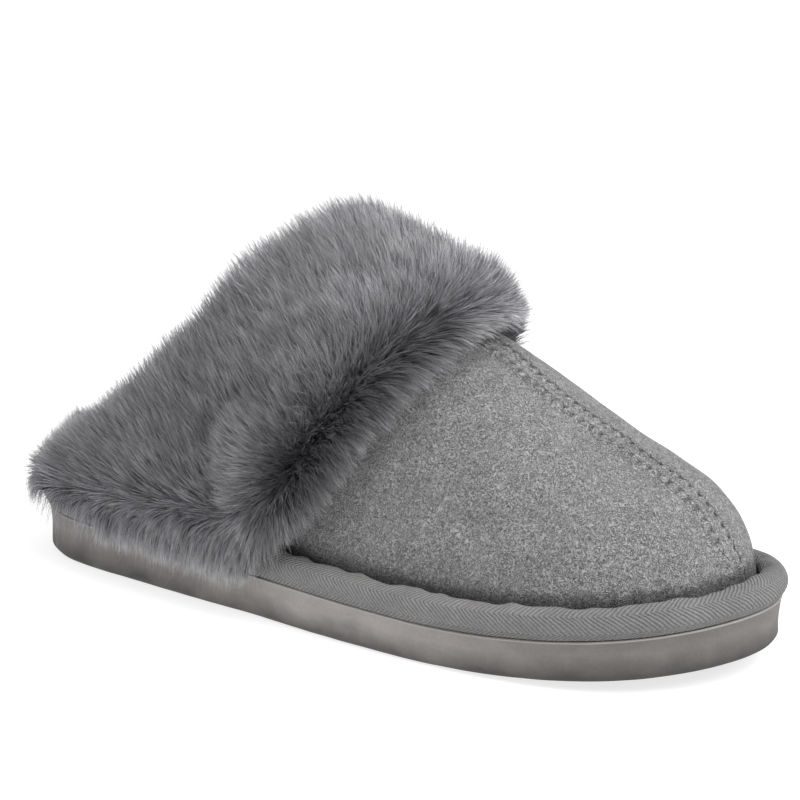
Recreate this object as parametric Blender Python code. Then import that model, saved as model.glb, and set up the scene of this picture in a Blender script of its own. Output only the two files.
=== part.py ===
"""Scuff slipper for the right foot: foam outsole, twill edge binding, hollow suede upper with a centre seam,
plush insole and a deep fur collar that saddles the topline.

Metres, +Z up, toe towards +X, lateral side towards -Y. The origin is on the ground under the middle of the sole.
Inside the functions x runs from 0 at the back of the heel to SOLE_LENGTH at the toe.
"""

import math

import bmesh
import bpy
import numpy as np

# Driving sizes of the sole
SOLE_LENGTH = 0.255
BALL_WIDTH = 0.0935
WAIST_WIDTH = 0.0730
HEEL_WIDTH = 0.0695
HEEL_THICKNESS = 0.0150
TOE_THICKNESS = 0.0098  # at the toe, before the rim's own rise
TOE_SPRING = 0.0060  # rise of the underside at the toe
SPRING_START = 0.66  # share of the length where the sole starts to rise
SPRING_CURVE = 1.8
RIM_SPRING = 0.0085  # rise of the sole's top edge at the toe
SOLE_FLARE = 0.0006  # how far the top edge stands out past the side's foot
SOLE_EDGE_RADIUS = 0.0024

# Driving sizes of the binding, upper, insole and collar
BINDING_HEIGHT = 0.0084
BINDING_WIDTH = 0.0062
BINDING_BULGE = 0.0016
UPPER_WALL = 0.0030
INSTEP_HEIGHT = 0.0850  # crown of the last above the sole, at the throat
THROAT = 0.118  # distance of the throat from the back of the heel
HEEL_RIM = 0.0018  # topline above the binding at the back of the heel
LATERAL_EXPONENT = 2.3  # 2 is an ellipse, more is squarer
MEDIAL_EXPONENT = 2.7
SEAM_HALF_WIDTH = 0.0036
SEAM_STEP = 0.0009
SEAM_RISE = 0.0008
INSOLE_THICKNESS = 0.0070
INSOLE_EDGE_RADIUS = 0.0035
COLLAR_FRONT = 0.158  # front of the collar's backing on the crown
COLLAR_CORNER = 0.113  # where the collar's front edge meets the binding
INSIDE_CORNER = 0.045  # inside, where the fur's edge leaves the insole
INSIDE_FRONT = 0.014  # inside, how far the fur runs forward of the throat
FUR_DEPTH = 0.0165
LOCK_SHARE = 0.36  # how much of a lock's length stands past its neighbours
FUR_DROOP = 0.0070  # how far the fur hangs down over the binding
FUR_DRAPE = 0.0010  # how far it stays clear of the binding's side
DROOP_END = 0.54  # share of the way from heel to instep where the fur stops hanging over the binding
DROOP_GONE = 0.66
RIM_LEAN = 0.35  # how far the fur on the topline leans to either side, for one unit up
LINING_LIFT = 0.25  # how far the fur inside points up, for one unit inwards

# Clearances, and what follows from them
GAP = 0.0003
CURVED_GAP = 0.0006
LINING_GAP = 0.0012
UPPER_INSET = BINDING_WIDTH + CURVED_GAP

# How finely the solids are faceted
RING_POINTS = 96
REAR_STATIONS = 18
FRONT_STATIONS = 24
WALL_ROWS = 8
COLLAR_LINES = 72
COLLAR_ROWS = 12
SEAT_ROWS = 9

# Sole outline: share of the length, full width there, share of that width on the lateral side
OUTLINE = (
    (0.00, 0.0, 0.500),
    (0.02, 0.490 * HEEL_WIDTH, 0.500),
    (0.05, 0.734 * HEEL_WIDTH, 0.500),
    (0.10, 0.907 * HEEL_WIDTH, 0.508),
    (0.20, 1.003 * HEEL_WIDTH, 0.522),
    (0.30, 1.027 * HEEL_WIDTH, 0.550),
    (0.40, WAIST_WIDTH, 0.574),
    (0.50, 0.838 * BALL_WIDTH, 0.578),
    (0.60, 0.919 * BALL_WIDTH, 0.558),
    (0.70, 0.989 * BALL_WIDTH, 0.529),
    (0.76, BALL_WIDTH, 0.519),
    (0.82, 0.978 * BALL_WIDTH, 0.512),
    (0.88, 0.897 * BALL_WIDTH, 0.511),
    (0.93, 0.748 * BALL_WIDTH, 0.514),
    (0.97, 0.513 * BALL_WIDTH, 0.521),
    (1.00, 0.0, 0.500),
)

# Crown of the last: share of the way from the back of the heel to the upper's toe, share of INSTEP_HEIGHT
CROWN = (
    (0.000, 1.150),
    (0.308, 1.090),
    (0.476, 1.000),
    (0.565, 0.913),
    (0.625, 0.850),
    (0.688, 0.768),
    (0.750, 0.664),
    (0.784, 0.606),
    (0.835, 0.533),
    (0.887, 0.450),
    (0.919, 0.393),
    (0.953, 0.304),
    (0.979, 0.187),
    (1.000, 0.0),
)

# Topline seen from the side: share of the way from heel to throat, share of the rise
TOPLINE = ((0.0, 0.0), (0.12, 0.02), (0.25, 0.08), (0.54, 0.39), (0.81, 0.75), (1.0, 1.0))

# Fur length along the collar, as shares of FUR_DEPTH: share of the way from heel to instep,
# at the lower edge, on the wall, at the topline, inside
FUR_LENGTHS = (
    (0.00, 0.90, 0.85, 0.65, 0.30),
    (0.15, 0.90, 0.88, 0.68, 0.30),
    (0.42, 0.85, 0.98, 0.86, 0.32),
    (0.60, 0.80, 1.00, 0.92, 0.34),
    (0.73, 0.77, 1.06, 0.98, 0.36),
    (0.84, 0.74, 1.12, 1.12, 0.38),
    (1.00, 0.70, 1.15, 1.18, 0.40),
)

# Comb of the fur, as its lean up the wall for one unit outwards: share of the way from heel to instep,
# at the lower edge, just above it, on the crest, on the wall, at the topline
FUR_COMB = (
    (0.00, -0.90, -0.35, 0.00, 0.50, 1.30),
    (0.30, -0.90, -0.35, 0.00, 0.40, 0.90),
    (0.55, -1.00, -0.40, 0.00, 0.45, 0.80),
    (0.68, -2.20, -0.90, -0.05, 0.45, 0.80),
    (1.00, -2.60, -1.00, -0.10, 0.35, 0.70),
)
COMB_ROWS = (0.0, 0.07, 0.17, 0.45, 1.0)

# Binding section: share of BINDING_WIDTH inwards, share of BINDING_BULGE outwards, share of BINDING_HEIGHT up
BINDING_SECTION = (
    (0.96, 0.0, 0.00),
    (0.10, 0.0, 0.00),
    (0.00, 0.3, 0.10),
    (0.00, 0.9, 0.30),
    (0.00, 1.0, 0.52),
    (0.00, 0.5, 0.76),
    (0.14, 0.0, 0.93),
    (0.42, 0.0, 1.00),
    (0.74, 0.0, 0.96),
    (0.96, 0.0, 0.80),
    (1.00, 0.0, 0.55),
)


def column(table, index):
    return [row[index] for row in table]


def monotone(xs, ys, x):
    """Monotone cubic through the table (xs, ys), read at the array x."""
    xs, ys, x = (np.asarray(v, float) for v in (xs, ys, x))
    step = np.diff(xs)
    slope = np.diff(ys) / step
    tangent = np.zeros_like(ys)
    tangent[0], tangent[-1] = slope[0], slope[-1]
    same = slope[:-1] * slope[1:] > 0
    w1, w2 = 2 * step[1:] + step[:-1], step[1:] + 2 * step[:-1]
    with np.errstate(divide="ignore", invalid="ignore"):
        mean = (w1 + w2) / (w1 / slope[:-1] + w2 / slope[1:])
    tangent[1:-1] = np.where(same, mean, 0.0)
    i = np.clip(np.searchsorted(xs, x) - 1, 0, len(step) - 1)
    t = (np.clip(x, xs[0], xs[-1]) - xs[i]) / step[i]
    return (
        (1 + 2 * t) * (1 - t) ** 2 * ys[i]
        + t * (1 - t) ** 2 * step[i] * tangent[i]
        + t * t * (3 - 2 * t) * ys[i + 1]
        + t * t * (t - 1) * step[i] * tangent[i + 1]
    )


def rooted(table, scale, t):
    """A width or height that closes with a round end: the square of the column is interpolated."""
    squares = [(scale * row[1]) ** 2 for row in table]
    return np.sqrt(np.maximum(monotone(column(table, 0), squares, t), 0.0))


def crown_rise(x):
    """Crown of the outer last above the sole."""
    return rooted(CROWN, INSTEP_HEIGHT, np.asarray(x) / (SOLE_LENGTH - UPPER_INSET))


def toe_share(x):
    """Share of the way from where the sole starts to rise to its tip."""
    return np.clip((np.asarray(x) / SOLE_LENGTH - SPRING_START) / (1 - SPRING_START), 0, 1)


def spring(x):
    """Height of the sole's underside."""
    return TOE_SPRING * toe_share(x) ** SPRING_CURVE


def sole_top(x):
    """Height of the line where the outsole ends and the binding starts."""
    level = HEEL_THICKNESS + (TOE_THICKNESS - HEEL_THICKNESS) * np.asarray(x) / SOLE_LENGTH
    return level + RIM_SPRING * toe_share(x) ** SPRING_CURVE


def last_floor(x):
    return sole_top(x) + GAP


def binding_top(x):
    return sole_top(x) + GAP + BINDING_HEIGHT


def eased(count):
    """Shares from 0 to 1, crowded at both ends."""
    return (1 - np.cos(np.linspace(0, math.pi, count + 1))) / 2


def outline_loop(samples=240):
    """The sole's outline from the heel along the lateral side to the toe and back: points and outward normals."""
    t = eased(samples)
    width = rooted(OUTLINE, 1.0, t)
    lateral = monotone(column(OUTLINE, 0), column(OUTLINE, 2), t)
    near = np.stack([t * SOLE_LENGTH, -width * lateral], 1)
    far = np.stack([t * SOLE_LENGTH, width * (1 - lateral)], 1)[::-1]
    points = np.concatenate([near, far[1:-1]])
    run = np.roll(points, -1, 0) - np.roll(points, 1, 0)
    normals = np.stack([run[:, 1], -run[:, 0]], 1)
    return points, normals / np.linalg.norm(normals, axis=1)[:, None], samples


def inset_sides(inset):
    """The outline moved inwards, as a lateral and a medial polyline that both run from heel to toe."""
    points, normals, toe = outline_loop()
    moved = points - normals * inset
    lateral = moved[: toe + 1]
    medial = np.concatenate([moved[toe:], moved[:1]])[::-1]
    return lateral, medial


def evenly(polyline, shares):
    """Points at these shares of a polyline's length."""
    steps = np.linalg.norm(np.diff(polyline, axis=0), axis=1)
    along = np.concatenate([[0], np.cumsum(steps)])
    at = np.asarray(shares) * along[-1]
    return np.stack([np.interp(at, along, polyline[:, k]) for k in range(polyline.shape[1])], 1)


def ring(inset):
    """RING_POINTS points of the outline moved inwards, starting at the heel and going round by the lateral side."""
    shares = np.linspace(0, 1, RING_POINTS // 2 + 1)
    lateral, medial = (evenly(side, shares) for side in inset_sides(inset))
    return np.concatenate([lateral, medial[-2:0:-1]])


def placed(x, y, z):
    """A point of the shoe in the part's frame."""
    return (float(x) - SOLE_LENGTH / 2, float(y), float(z))


def material(name, colour, roughness):
    made = bpy.data.materials.new(name)
    made.use_nodes = True
    shader = made.node_tree.nodes["Principled BSDF"]
    shader.inputs["Base Color"].default_value = (*colour, 1)
    shader.inputs["Roughness"].default_value = roughness
    shader.inputs["Metallic"].default_value = 0.0
    made.diffuse_color = (*colour, 1)
    return made


def solid(name, vertices, faces, finish, smooth_angle=math.radians(40)):
    """One closed object, facing out, shaded smooth."""
    mesh = bpy.data.meshes.new(name)
    mesh.from_pydata([tuple(v) for v in vertices], [], faces)
    work = bmesh.new()
    work.from_mesh(mesh)
    bmesh.ops.triangulate(work, faces=work.faces[:])
    bmesh.ops.recalc_face_normals(work, faces=work.faces[:])
    if work.calc_volume(signed=True) < 0:
        bmesh.ops.reverse_faces(work, faces=work.faces[:])
    work.to_mesh(mesh)
    work.free()
    mesh.shade_smooth()
    mesh.set_sharp_from_angle(angle=smooth_angle)
    made = bpy.data.objects.new(name, mesh)
    bpy.context.scene.collection.objects.link(made)
    mesh.materials.append(finish)
    return made


def ladder(first, count, flipped):
    """A cap across a ring: strips from the lateral points to the medial points."""
    half = count // 2
    faces = [(first, first + 1, first + count - 1)]
    for i in range(1, half - 1):
        faces.append((first + i, first + i + 1, first + count - i - 1, first + count - i))
    faces.append((first + half - 1, first + half, first + half + 1))
    return [face[::-1] for face in faces] if flipped else faces


def stacked(name, levels, finish):
    """A plate from rings: each level is an inset and a function that gives the height at x."""
    vertices, faces = [], []
    for inset, height in levels:
        vertices += [placed(x, y, height(x)) for x, y in ring(inset)]
    for level in range(len(levels) - 1):
        low, high = level * RING_POINTS, (level + 1) * RING_POINTS
        for i in range(RING_POINTS):
            j = (i + 1) % RING_POINTS
            faces.append((low + i, low + j, high + j, high + i))
    faces += ladder(0, RING_POINTS, True)
    faces += ladder((len(levels) - 1) * RING_POINTS, RING_POINTS, False)
    return solid(name, vertices, faces, finish)


def outsole(finish):
    """Foam sole with a rounded foot, a slightly flared side and toe spring."""
    corner = SOLE_EDGE_RADIUS
    levels = [(SOLE_FLARE + corner, spring)]
    for degrees in (30, 60, 90):
        a = math.radians(degrees)
        inset = SOLE_FLARE + corner * (1 - math.sin(a))
        levels.append((inset, lambda x, rise=corner * (1 - math.cos(a)): spring(x) + rise))
    levels.append((0.0, sole_top))
    return stacked("outsole", levels, finish)


def insole(finish):
    """Footbed inside the upper, its top edge eased."""
    edge = UPPER_INSET + UPPER_WALL + CURVED_GAP
    radius = INSOLE_EDGE_RADIUS
    levels = [(edge, last_floor)]
    for degrees in (0, 45, 90):
        a = math.radians(degrees)
        up = INSOLE_THICKNESS - radius * (1 - math.sin(a))
        levels.append((edge + radius * (1 - math.cos(a)), lambda x, up=up: last_floor(x) + up))
    return stacked("insole", levels, finish)


def edge_binding(finish):
    """Rolled band of twill tape that stands on the sole's rim all the way round."""
    vertices, faces = [], []
    for inward, bulge, up in BINDING_SECTION:
        inset = inward * BINDING_WIDTH - bulge * BINDING_BULGE
        vertices += [placed(x, y, sole_top(x) + GAP + up * BINDING_HEIGHT) for x, y in ring(inset)]
    rows = len(BINDING_SECTION)
    for row in range(rows):
        low, high = row * RING_POINTS, (row + 1) % rows * RING_POINTS
        for i in range(RING_POINTS):
            j = (i + 1) % RING_POINTS
            faces.append((low + i, low + j, high + j, high + i))
    return solid("edge_binding", vertices, faces, finish)


def exponent(side):
    return LATERAL_EXPONENT if side < 0 else MEDIAL_EXPONENT


class Last:
    """The surface that the upper is drawn over, moved inwards by a wall thickness."""

    def __init__(self, inwards):
        self.lateral, self.medial = inset_sides(UPPER_INSET + inwards)
        self.heel, self.toe = self.lateral[0, 0], self.lateral[-1, 0]
        x = eased(400) * (SOLE_LENGTH - UPPER_INSET)
        height = crown_rise(x)
        run, rise = np.gradient(x), np.gradient(height)
        size = np.hypot(run, rise)
        self.profile_x = x + rise / size * inwards
        self.profile_z = height - run / size * inwards
        self.throat = self.find_throat(inwards)

    def crown(self, x):
        """Height of the crown above the sole."""
        spread = (x - self.heel) / (self.toe - self.heel)
        at = self.profile_x[0] + spread * (self.profile_x[-1] - self.profile_x[0])
        tip = np.clip((x - THROAT) / (self.toe - THROAT), 0, 1)
        return np.maximum(np.interp(x + (at - x) * tip, self.profile_x, self.profile_z), 0.0)

    def find_throat(self, inwards):
        """Where the topline meets the crown."""
        low, high = THROAT - 8 * inwards - 1e-6, THROAT
        for _ in range(60):
            middle = (low + high) / 2
            above = last_floor(middle) + self.crown(middle) > topline(middle)
            low, high = (middle, high) if above else (low, middle)
        return THROAT if inwards == 0 else (low + high) / 2

    def half_width(self, x, side):
        line = self.lateral if side < 0 else self.medial
        return np.abs(np.interp(x, line[:, 0], line[:, 1]))

    def point(self, x, turn, side):
        """The point at a quarter-turn share: 0 at the foot of the wall, 1 on the crown."""
        angle = np.clip(turn, 0, 1) * math.pi / 2
        power = 2 / exponent(side)
        y = side * self.half_width(x, side) * np.cos(angle).clip(0) ** power
        return np.array([x, y, last_floor(x) + self.crown(x) * np.sin(angle) ** power])

    def turn_at_height(self, x, z, side):
        share = np.clip((z - last_floor(x)) / max(float(self.crown(x)), 1e-9), 0, 1)
        return math.asin(float(share) ** (exponent(side) / 2)) * 2 / math.pi

    def turn_at_width(self, x, y, side):
        share = min(y / max(float(self.half_width(x, side)), 1e-9), 0.6)
        return math.acos(share ** (exponent(side) / 2)) * 2 / math.pi

    def normal(self, x, turn, side):
        """Outward normal, from small steps along the surface."""
        dx, dt = 1e-4, 1e-3
        x = min(max(x, self.heel + 3e-4), self.toe - 3e-4)
        turn = min(max(turn, 2e-3), 1 - 2e-3)
        along = self.point(x + dx, turn, side) - self.point(x - dx, turn, side)
        up = self.point(x, turn + dt, side) - self.point(x, turn - dt, side)
        made = np.cross(along, up) * -side
        return made / np.linalg.norm(made)


def crown_height(x):
    """Crown of the outer last above the ground."""
    return last_floor(x) + crown_rise(x)


def topline(x):
    """Height of the opening's edge above the ground, seen from the side."""
    heel = binding_top(0.0) + HEEL_RIM
    share = monotone(column(TOPLINE, 0), column(TOPLINE, 1), np.asarray(x) / THROAT)
    return heel + (crown_height(THROAT) - heel) * share


def wall_turns(last, x, side, rear):
    """The quarter-turn shares of the wall's rows at one station, the last three on the seam's step."""
    flank = last.turn_at_width(x, SEAM_HALF_WIDTH + SEAM_STEP, side)
    edge = last.turn_at_width(x, SEAM_HALF_WIDTH, side)
    turns = [flank * j / (WALL_ROWS - 2) for j in range(WALL_ROWS - 1)] + [edge, 1.0]
    top = last.turn_at_height(x, float(topline(x)), side) if rear else 1.0
    return [turn * top for turn in turns]


def upper(finish):
    """Hollow suede upper: outer and inner skins joined along the topline and along the foot of the wall."""
    vertices, faces = [], []
    rows = WALL_ROWS
    toe_station = REAR_STATIONS + FRONT_STATIONS

    def skin(inwards):
        last = Last(inwards)
        rear = last.heel + (last.throat - last.heel) * eased(REAR_STATIONS)
        front = last.throat + (last.toe - last.throat) * eased(FRONT_STATIONS)
        stations = list(rear) + list(front[1:])
        names = {}
        for i, x in enumerate(stations):
            for side in (-1, 1):
                turns = wall_turns(last, x, side, i < REAR_STATIONS)
                for j, turn in enumerate(turns):
                    shared = i in (0, toe_station) or (j == rows and i >= REAR_STATIONS)
                    if side == 1 and shared:
                        names[side, i, j] = names[-1, i, j]
                        continue
                    if i == toe_station and j:
                        names[side, i, j] = names[side, i, 0]
                        continue
                    point = last.point(x, turn, side)
                    if inwards == 0 and REAR_STATIONS < i < toe_station - 1 and j >= rows - 1:
                        point = point + last.normal(x, turn, side) * SEAM_RISE
                    names[side, i, j] = len(vertices)
                    vertices.append(placed(*point))
        return names

    def sheet(names, outwards):
        for i in range(toe_station):
            for side in (-1, 1):
                for j in range(rows):
                    face = [names[side, i, j], names[side, i + 1, j], names[side, i + 1, j + 1], names[side, i, j + 1]]
                    face = list(dict.fromkeys(face))
                    if len(face) > 2:
                        faces.append(tuple(face if (side < 0) == outwards else face[::-1]))

    outer, inner = skin(0.0), skin(UPPER_WALL)
    sheet(outer, True)
    sheet(inner, False)
    for side in (-1, 1):
        for i in range(toe_station):
            rim = (outer[side, i + 1, 0], outer[side, i, 0], inner[side, i, 0], inner[side, i + 1, 0])
            faces.append(rim if side < 0 else rim[::-1])
            if i < REAR_STATIONS:
                lip = (outer[side, i, rows], outer[side, i + 1, rows], inner[side, i + 1, rows], inner[side, i, rows])
                faces.append(lip if side < 0 else lip[::-1])
    return solid("upper", vertices, faces, finish)


def collar_lower_edge(x):
    """Height of the collar's lower and front edge, seen from the side."""
    foot = binding_top(x) + CURVED_GAP
    share = np.clip((x - COLLAR_CORNER) / (COLLAR_FRONT - COLLAR_CORNER), 0, 1)
    return foot + (crown_height(COLLAR_FRONT) - foot) * share


def collar_inner_edge(x):
    """Height of the fur's edge inside the upper, seen from the side."""
    foot = last_floor(x) + INSOLE_THICKNESS + CURVED_GAP
    front = THROAT + INSIDE_FRONT
    share = np.clip((x - INSIDE_CORNER) / (front - INSIDE_CORNER), 0, 1)
    return foot + (crown_height(front) - UPPER_WALL - foot) * share


def edge_curve(last, height, end, side, samples=240):
    """A curve on the last from the back of the heel to x = end on the crown, as rows of x and turn."""
    stations = last.heel + (end - last.heel) * eased(samples)
    turns = [last.turn_at_height(x, float(height(x)), side) for x in stations]
    turns[-1] = 1.0
    points = np.array([last.point(x, turn, side) for x, turn in zip(stations, turns)])
    steps = np.linalg.norm(np.diff(points, axis=0), axis=1)
    along = np.concatenate([[0], np.cumsum(steps)])
    shares = np.linspace(0, 1, COLLAR_LINES // 2 + 1)
    at = shares * along[-1]
    return [(float(np.interp(a, along, stations)), float(np.interp(a, along, turns))) for a in at]


UP = np.array([0.0, 0.0, 1.0])


def unit(vector):
    return vector / np.linalg.norm(vector)


def seat_clearance(point):
    """Gap of the fur's backing over the upper, more where the seam's step lies under it."""
    return CURVED_GAP + (SEAM_RISE if abs(point[1]) < 4 * SEAM_HALF_WIDTH else 0.0)


def row_values(table, share):
    """The row of a table at this share, without its first column."""
    return [float(monotone(column(table, 0), column(table, k), share)) for k in range(1, len(table[0]))]


def lower_lip(root, outward, tip, share):
    """The collar's underside: past the binding and down over its side, or forward along the vamp."""
    past = UPPER_INSET + BINDING_BULGE + FUR_DRAPE
    hung = float(monotone((0, DROOP_END, DROOP_GONE, 1), (1, 1, 0, 0), share))
    turn_down = root + outward * past - UP * CURVED_GAP
    hanging_tip = root + outward * (past + 0.2 * FUR_DEPTH) - UP * FUR_DROOP
    along = root + (tip - root) * 0.5
    return along + (turn_down - along) * hung, tip + (hanging_tip - tip) * hung


def collar_section(outer, inner, low, top, inner_top, inner_low, side, share):
    """One section of the collar: the lip, the roots with comb direction and length, and the seat on the wall."""
    edge, wall, rim, lining = (FUR_DEPTH * value for value in row_values(FUR_LENGTHS, share))
    comb = row_values(FUR_COMB, share)
    climb = unit(outer.point(*top, side) - outer.point(*low, side) + UP * 1e-6)

    def on_wall(v):
        at = [low[k] + (top[k] - low[k]) * v for k in (0, 1)]
        point, normal = outer.point(*at, side), outer.normal(*at, side)
        return point + normal * seat_clearance(point), normal

    fur = []
    for v in np.linspace(0, 1, COLLAR_ROWS):
        root, normal = on_wall(v)
        lean = float(monotone(COMB_ROWS, comb, v))
        length = float(monotone((0, 0.2, 0.8, 1), (edge, wall, wall, rim), v))
        fur.append((root, unit(normal + climb * lean), length))
    seat = [on_wall(v)[0] for v in np.linspace(0, 1, SEAT_ROWS)]
    root, normal = on_wall(0.0)
    lip, tip = lower_lip(root, unit(normal * (1, 1, 0)), root + fur[0][1] * edge, share)
    fur[0] = (root, unit(tip - root), np.linalg.norm(tip - root))

    over_rim = climb * 2 * CURVED_GAP
    seat[-1] = seat[-1] + over_rim
    inward = -inner.normal(*inner_top, side)
    rim_in = inner.point(*inner_top, side) + inward * LINING_GAP + over_rim
    back = np.array([-1.0, 0.0, 0.25]) * share
    fur.append((seat[-1], unit(UP + RIM_LEAN * outer.normal(*top, side) + 0.5 * back), rim))
    fur.append((rim_in, unit(UP + RIM_LEAN * inward + back), 0.9 * rim))
    seat.append(rim_in)
    for v in (0.5, 1.0):
        at = [inner_top[k] + (inner_low[k] - inner_top[k]) * v for k in (0, 1)]
        inward = -inner.normal(*at, side)
        seat.append(inner.point(*at, side) + inward * LINING_GAP)
        fur.append((seat[-1], unit(inward + LINING_LIFT * UP * (1 - share)), lining))
    return lip, fur, seat


def fur_collar(finish):
    """Fur collar that saddles the topline, its outer face broken into locks."""
    outer, inner = Last(0.0), Last(UPPER_WALL)
    half = COLLAR_LINES // 2
    vertices, faces = [], []
    rows = COLLAR_ROWS + 4
    for side in (-1, 1):
        low = edge_curve(outer, collar_lower_edge, COLLAR_FRONT, side)
        top = edge_curve(outer, topline, outer.throat, side)
        inner_top = edge_curve(inner, topline, inner.throat, side)
        inner_low = edge_curve(inner, collar_inner_edge, inner.throat + INSIDE_FRONT, side)
        lines = range(half + 1) if side < 0 else range(half - 1, 0, -1)
        for k in lines:
            edges = (low[k], top[k], inner_top[k], inner_low[k])
            lip, fur, seat = collar_section(outer, inner, *edges, side, k / half)
            for j, (root, comb, length) in enumerate(fur):
                tall = 1.0 if (k + j) % 2 else -1.0
                share = tall * LOCK_SHARE / 2 if 0 < j < rows - 1 else 0.0
                vertices.append(placed(*(root + comb * length * (1 + share))))
            vertices += [placed(*point) for point in reversed(seat)]
            vertices.append(placed(*lip))
    size = len(vertices) // COLLAR_LINES
    for i in range(COLLAR_LINES):
        here, after = i * size, (i + 1) % COLLAR_LINES * size
        for k in range(size):
            m = (k + 1) % size
            a, b, c, d = here + k, after + k, after + m, here + m
            tall = (i + k) % 2
            faces += [(a, b, d), (b, c, d)] if tall else [(a, b, c), (a, c, d)]
    return solid("fur_collar", vertices, faces, finish)


def main():
    for old in list(bpy.data.objects):
        bpy.data.objects.remove(old)
    outsole(material("foam_sole", (0.262, 0.243, 0.234), 0.75))
    edge_binding(material("twill_binding", (0.235, 0.232, 0.229), 0.9))
    upper(material("suede", (0.270, 0.264, 0.266), 0.95))
    insole(material("plush", (0.130, 0.128, 0.138), 1.0))
    fur_collar(material("fur", (0.120, 0.118, 0.130), 1.0))


main()
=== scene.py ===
"""Looks of the scuff slipper: brushed suede with a stitched centre seam, herringbone tape, mottled foam
sole, plush footbed and a deep fur collar of separate strands.

Metres, +Z up, toe towards +X, lateral side towards -Y, as in the frame. Inside the functions x runs from 0
at the back of the heel to SOLE_LENGTH at the toe, and placed() moves points into the frame.
"""

import math

import bmesh
import bpy
import numpy as np
from mathutils import Matrix, Vector
from mathutils.kdtree import KDTree


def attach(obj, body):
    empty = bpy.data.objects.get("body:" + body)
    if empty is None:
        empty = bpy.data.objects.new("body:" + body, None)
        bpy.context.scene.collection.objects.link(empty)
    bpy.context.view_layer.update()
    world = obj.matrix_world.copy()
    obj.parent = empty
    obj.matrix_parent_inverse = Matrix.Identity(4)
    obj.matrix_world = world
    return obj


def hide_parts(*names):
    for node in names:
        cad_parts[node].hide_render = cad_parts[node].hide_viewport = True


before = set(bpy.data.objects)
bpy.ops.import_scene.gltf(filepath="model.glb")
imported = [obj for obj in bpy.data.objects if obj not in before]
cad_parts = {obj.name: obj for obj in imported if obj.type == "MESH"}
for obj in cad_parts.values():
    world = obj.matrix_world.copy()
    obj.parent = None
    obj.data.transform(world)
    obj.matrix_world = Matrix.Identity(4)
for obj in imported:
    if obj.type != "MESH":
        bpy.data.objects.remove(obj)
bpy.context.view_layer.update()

# Driving sizes of the sole, as in the CAD
SOLE_LENGTH = 0.255
BALL_WIDTH = 0.0935
WAIST_WIDTH = 0.0730
HEEL_WIDTH = 0.0695
HEEL_THICKNESS = 0.0150
TOE_THICKNESS = 0.0098
TOE_SPRING = 0.0060
SPRING_START = 0.66
SPRING_CURVE = 1.8
RIM_SPRING = 0.0085
SOLE_FLARE = 0.0006
SOLE_EDGE_RADIUS = 0.0024

# Driving sizes of the binding, upper, insole and collar, as in the CAD
BINDING_HEIGHT = 0.0084
BINDING_WIDTH = 0.0062
BINDING_BULGE = 0.0016
UPPER_WALL = 0.0030
INSTEP_HEIGHT = 0.0850
THROAT = 0.118
HEEL_RIM = 0.0018
LATERAL_EXPONENT = 2.3
MEDIAL_EXPONENT = 2.7
SEAM_HALF_WIDTH = 0.0036
SEAM_STEP = 0.0009
SEAM_RISE = 0.0008
INSOLE_THICKNESS = 0.0070
INSOLE_EDGE_RADIUS = 0.0035
COLLAR_FRONT = 0.158
COLLAR_CORNER = 0.113
INSIDE_CORNER = 0.045
INSIDE_FRONT = 0.014
FUR_DEPTH = 0.0165
FUR_DRAPE = 0.0010

GAP = 0.0003
CURVED_GAP = 0.0006
LINING_GAP = 0.0012
UPPER_INSET = BINDING_WIDTH + CURVED_GAP

# Sole outline: share of the length, full width there, share of that width on the lateral side
OUTLINE = (
    (0.00, 0.0, 0.500),
    (0.02, 0.490 * HEEL_WIDTH, 0.500),
    (0.05, 0.734 * HEEL_WIDTH, 0.500),
    (0.10, 0.907 * HEEL_WIDTH, 0.508),
    (0.20, 1.003 * HEEL_WIDTH, 0.522),
    (0.30, 1.027 * HEEL_WIDTH, 0.550),
    (0.40, WAIST_WIDTH, 0.574),
    (0.50, 0.838 * BALL_WIDTH, 0.578),
    (0.60, 0.919 * BALL_WIDTH, 0.558),
    (0.70, 0.989 * BALL_WIDTH, 0.529),
    (0.76, BALL_WIDTH, 0.519),
    (0.82, 0.978 * BALL_WIDTH, 0.512),
    (0.88, 0.897 * BALL_WIDTH, 0.511),
    (0.93, 0.748 * BALL_WIDTH, 0.514),
    (0.97, 0.513 * BALL_WIDTH, 0.521),
    (1.00, 0.0, 0.500),
)

# Crown of the last: share of the way from the back of the heel to the upper's toe, share of INSTEP_HEIGHT
CROWN = (
    (0.000, 1.150),
    (0.308, 1.090),
    (0.476, 1.000),
    (0.565, 0.913),
    (0.625, 0.850),
    (0.688, 0.768),
    (0.750, 0.664),
    (0.784, 0.606),
    (0.835, 0.533),
    (0.887, 0.450),
    (0.919, 0.393),
    (0.953, 0.304),
    (0.979, 0.187),
    (1.000, 0.0),
)

# Topline seen from the side: share of the way from heel to throat, share of the rise
TOPLINE = ((0.0, 0.0), (0.12, 0.02), (0.25, 0.08), (0.54, 0.39), (0.81, 0.75), (1.0, 1.0))

# Fur length along the collar, as shares of FUR_DEPTH: share of the way from heel to instep,
# at the lower edge, on the wall, at the topline, inside
FUR_LENGTHS = (
    (0.00, 0.95, 0.98, 0.97, 0.34),
    (0.15, 0.95, 0.96, 0.76, 0.34),
    (0.28, 0.95, 1.00, 0.96, 0.35),
    (0.42, 0.95, 1.02, 0.96, 0.36),
    (0.52, 0.98, 0.98, 1.00, 0.37),
    (0.60, 1.04, 0.98, 1.04, 0.38),
    (0.67, 1.05, 1.02, 1.00, 0.40),
    (0.73, 1.05, 1.08, 1.14, 0.41),
    (0.82, 1.05, 1.18, 1.35, 0.42),
    (1.00, 0.80, 1.30, 1.38, 0.44),
)

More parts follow.
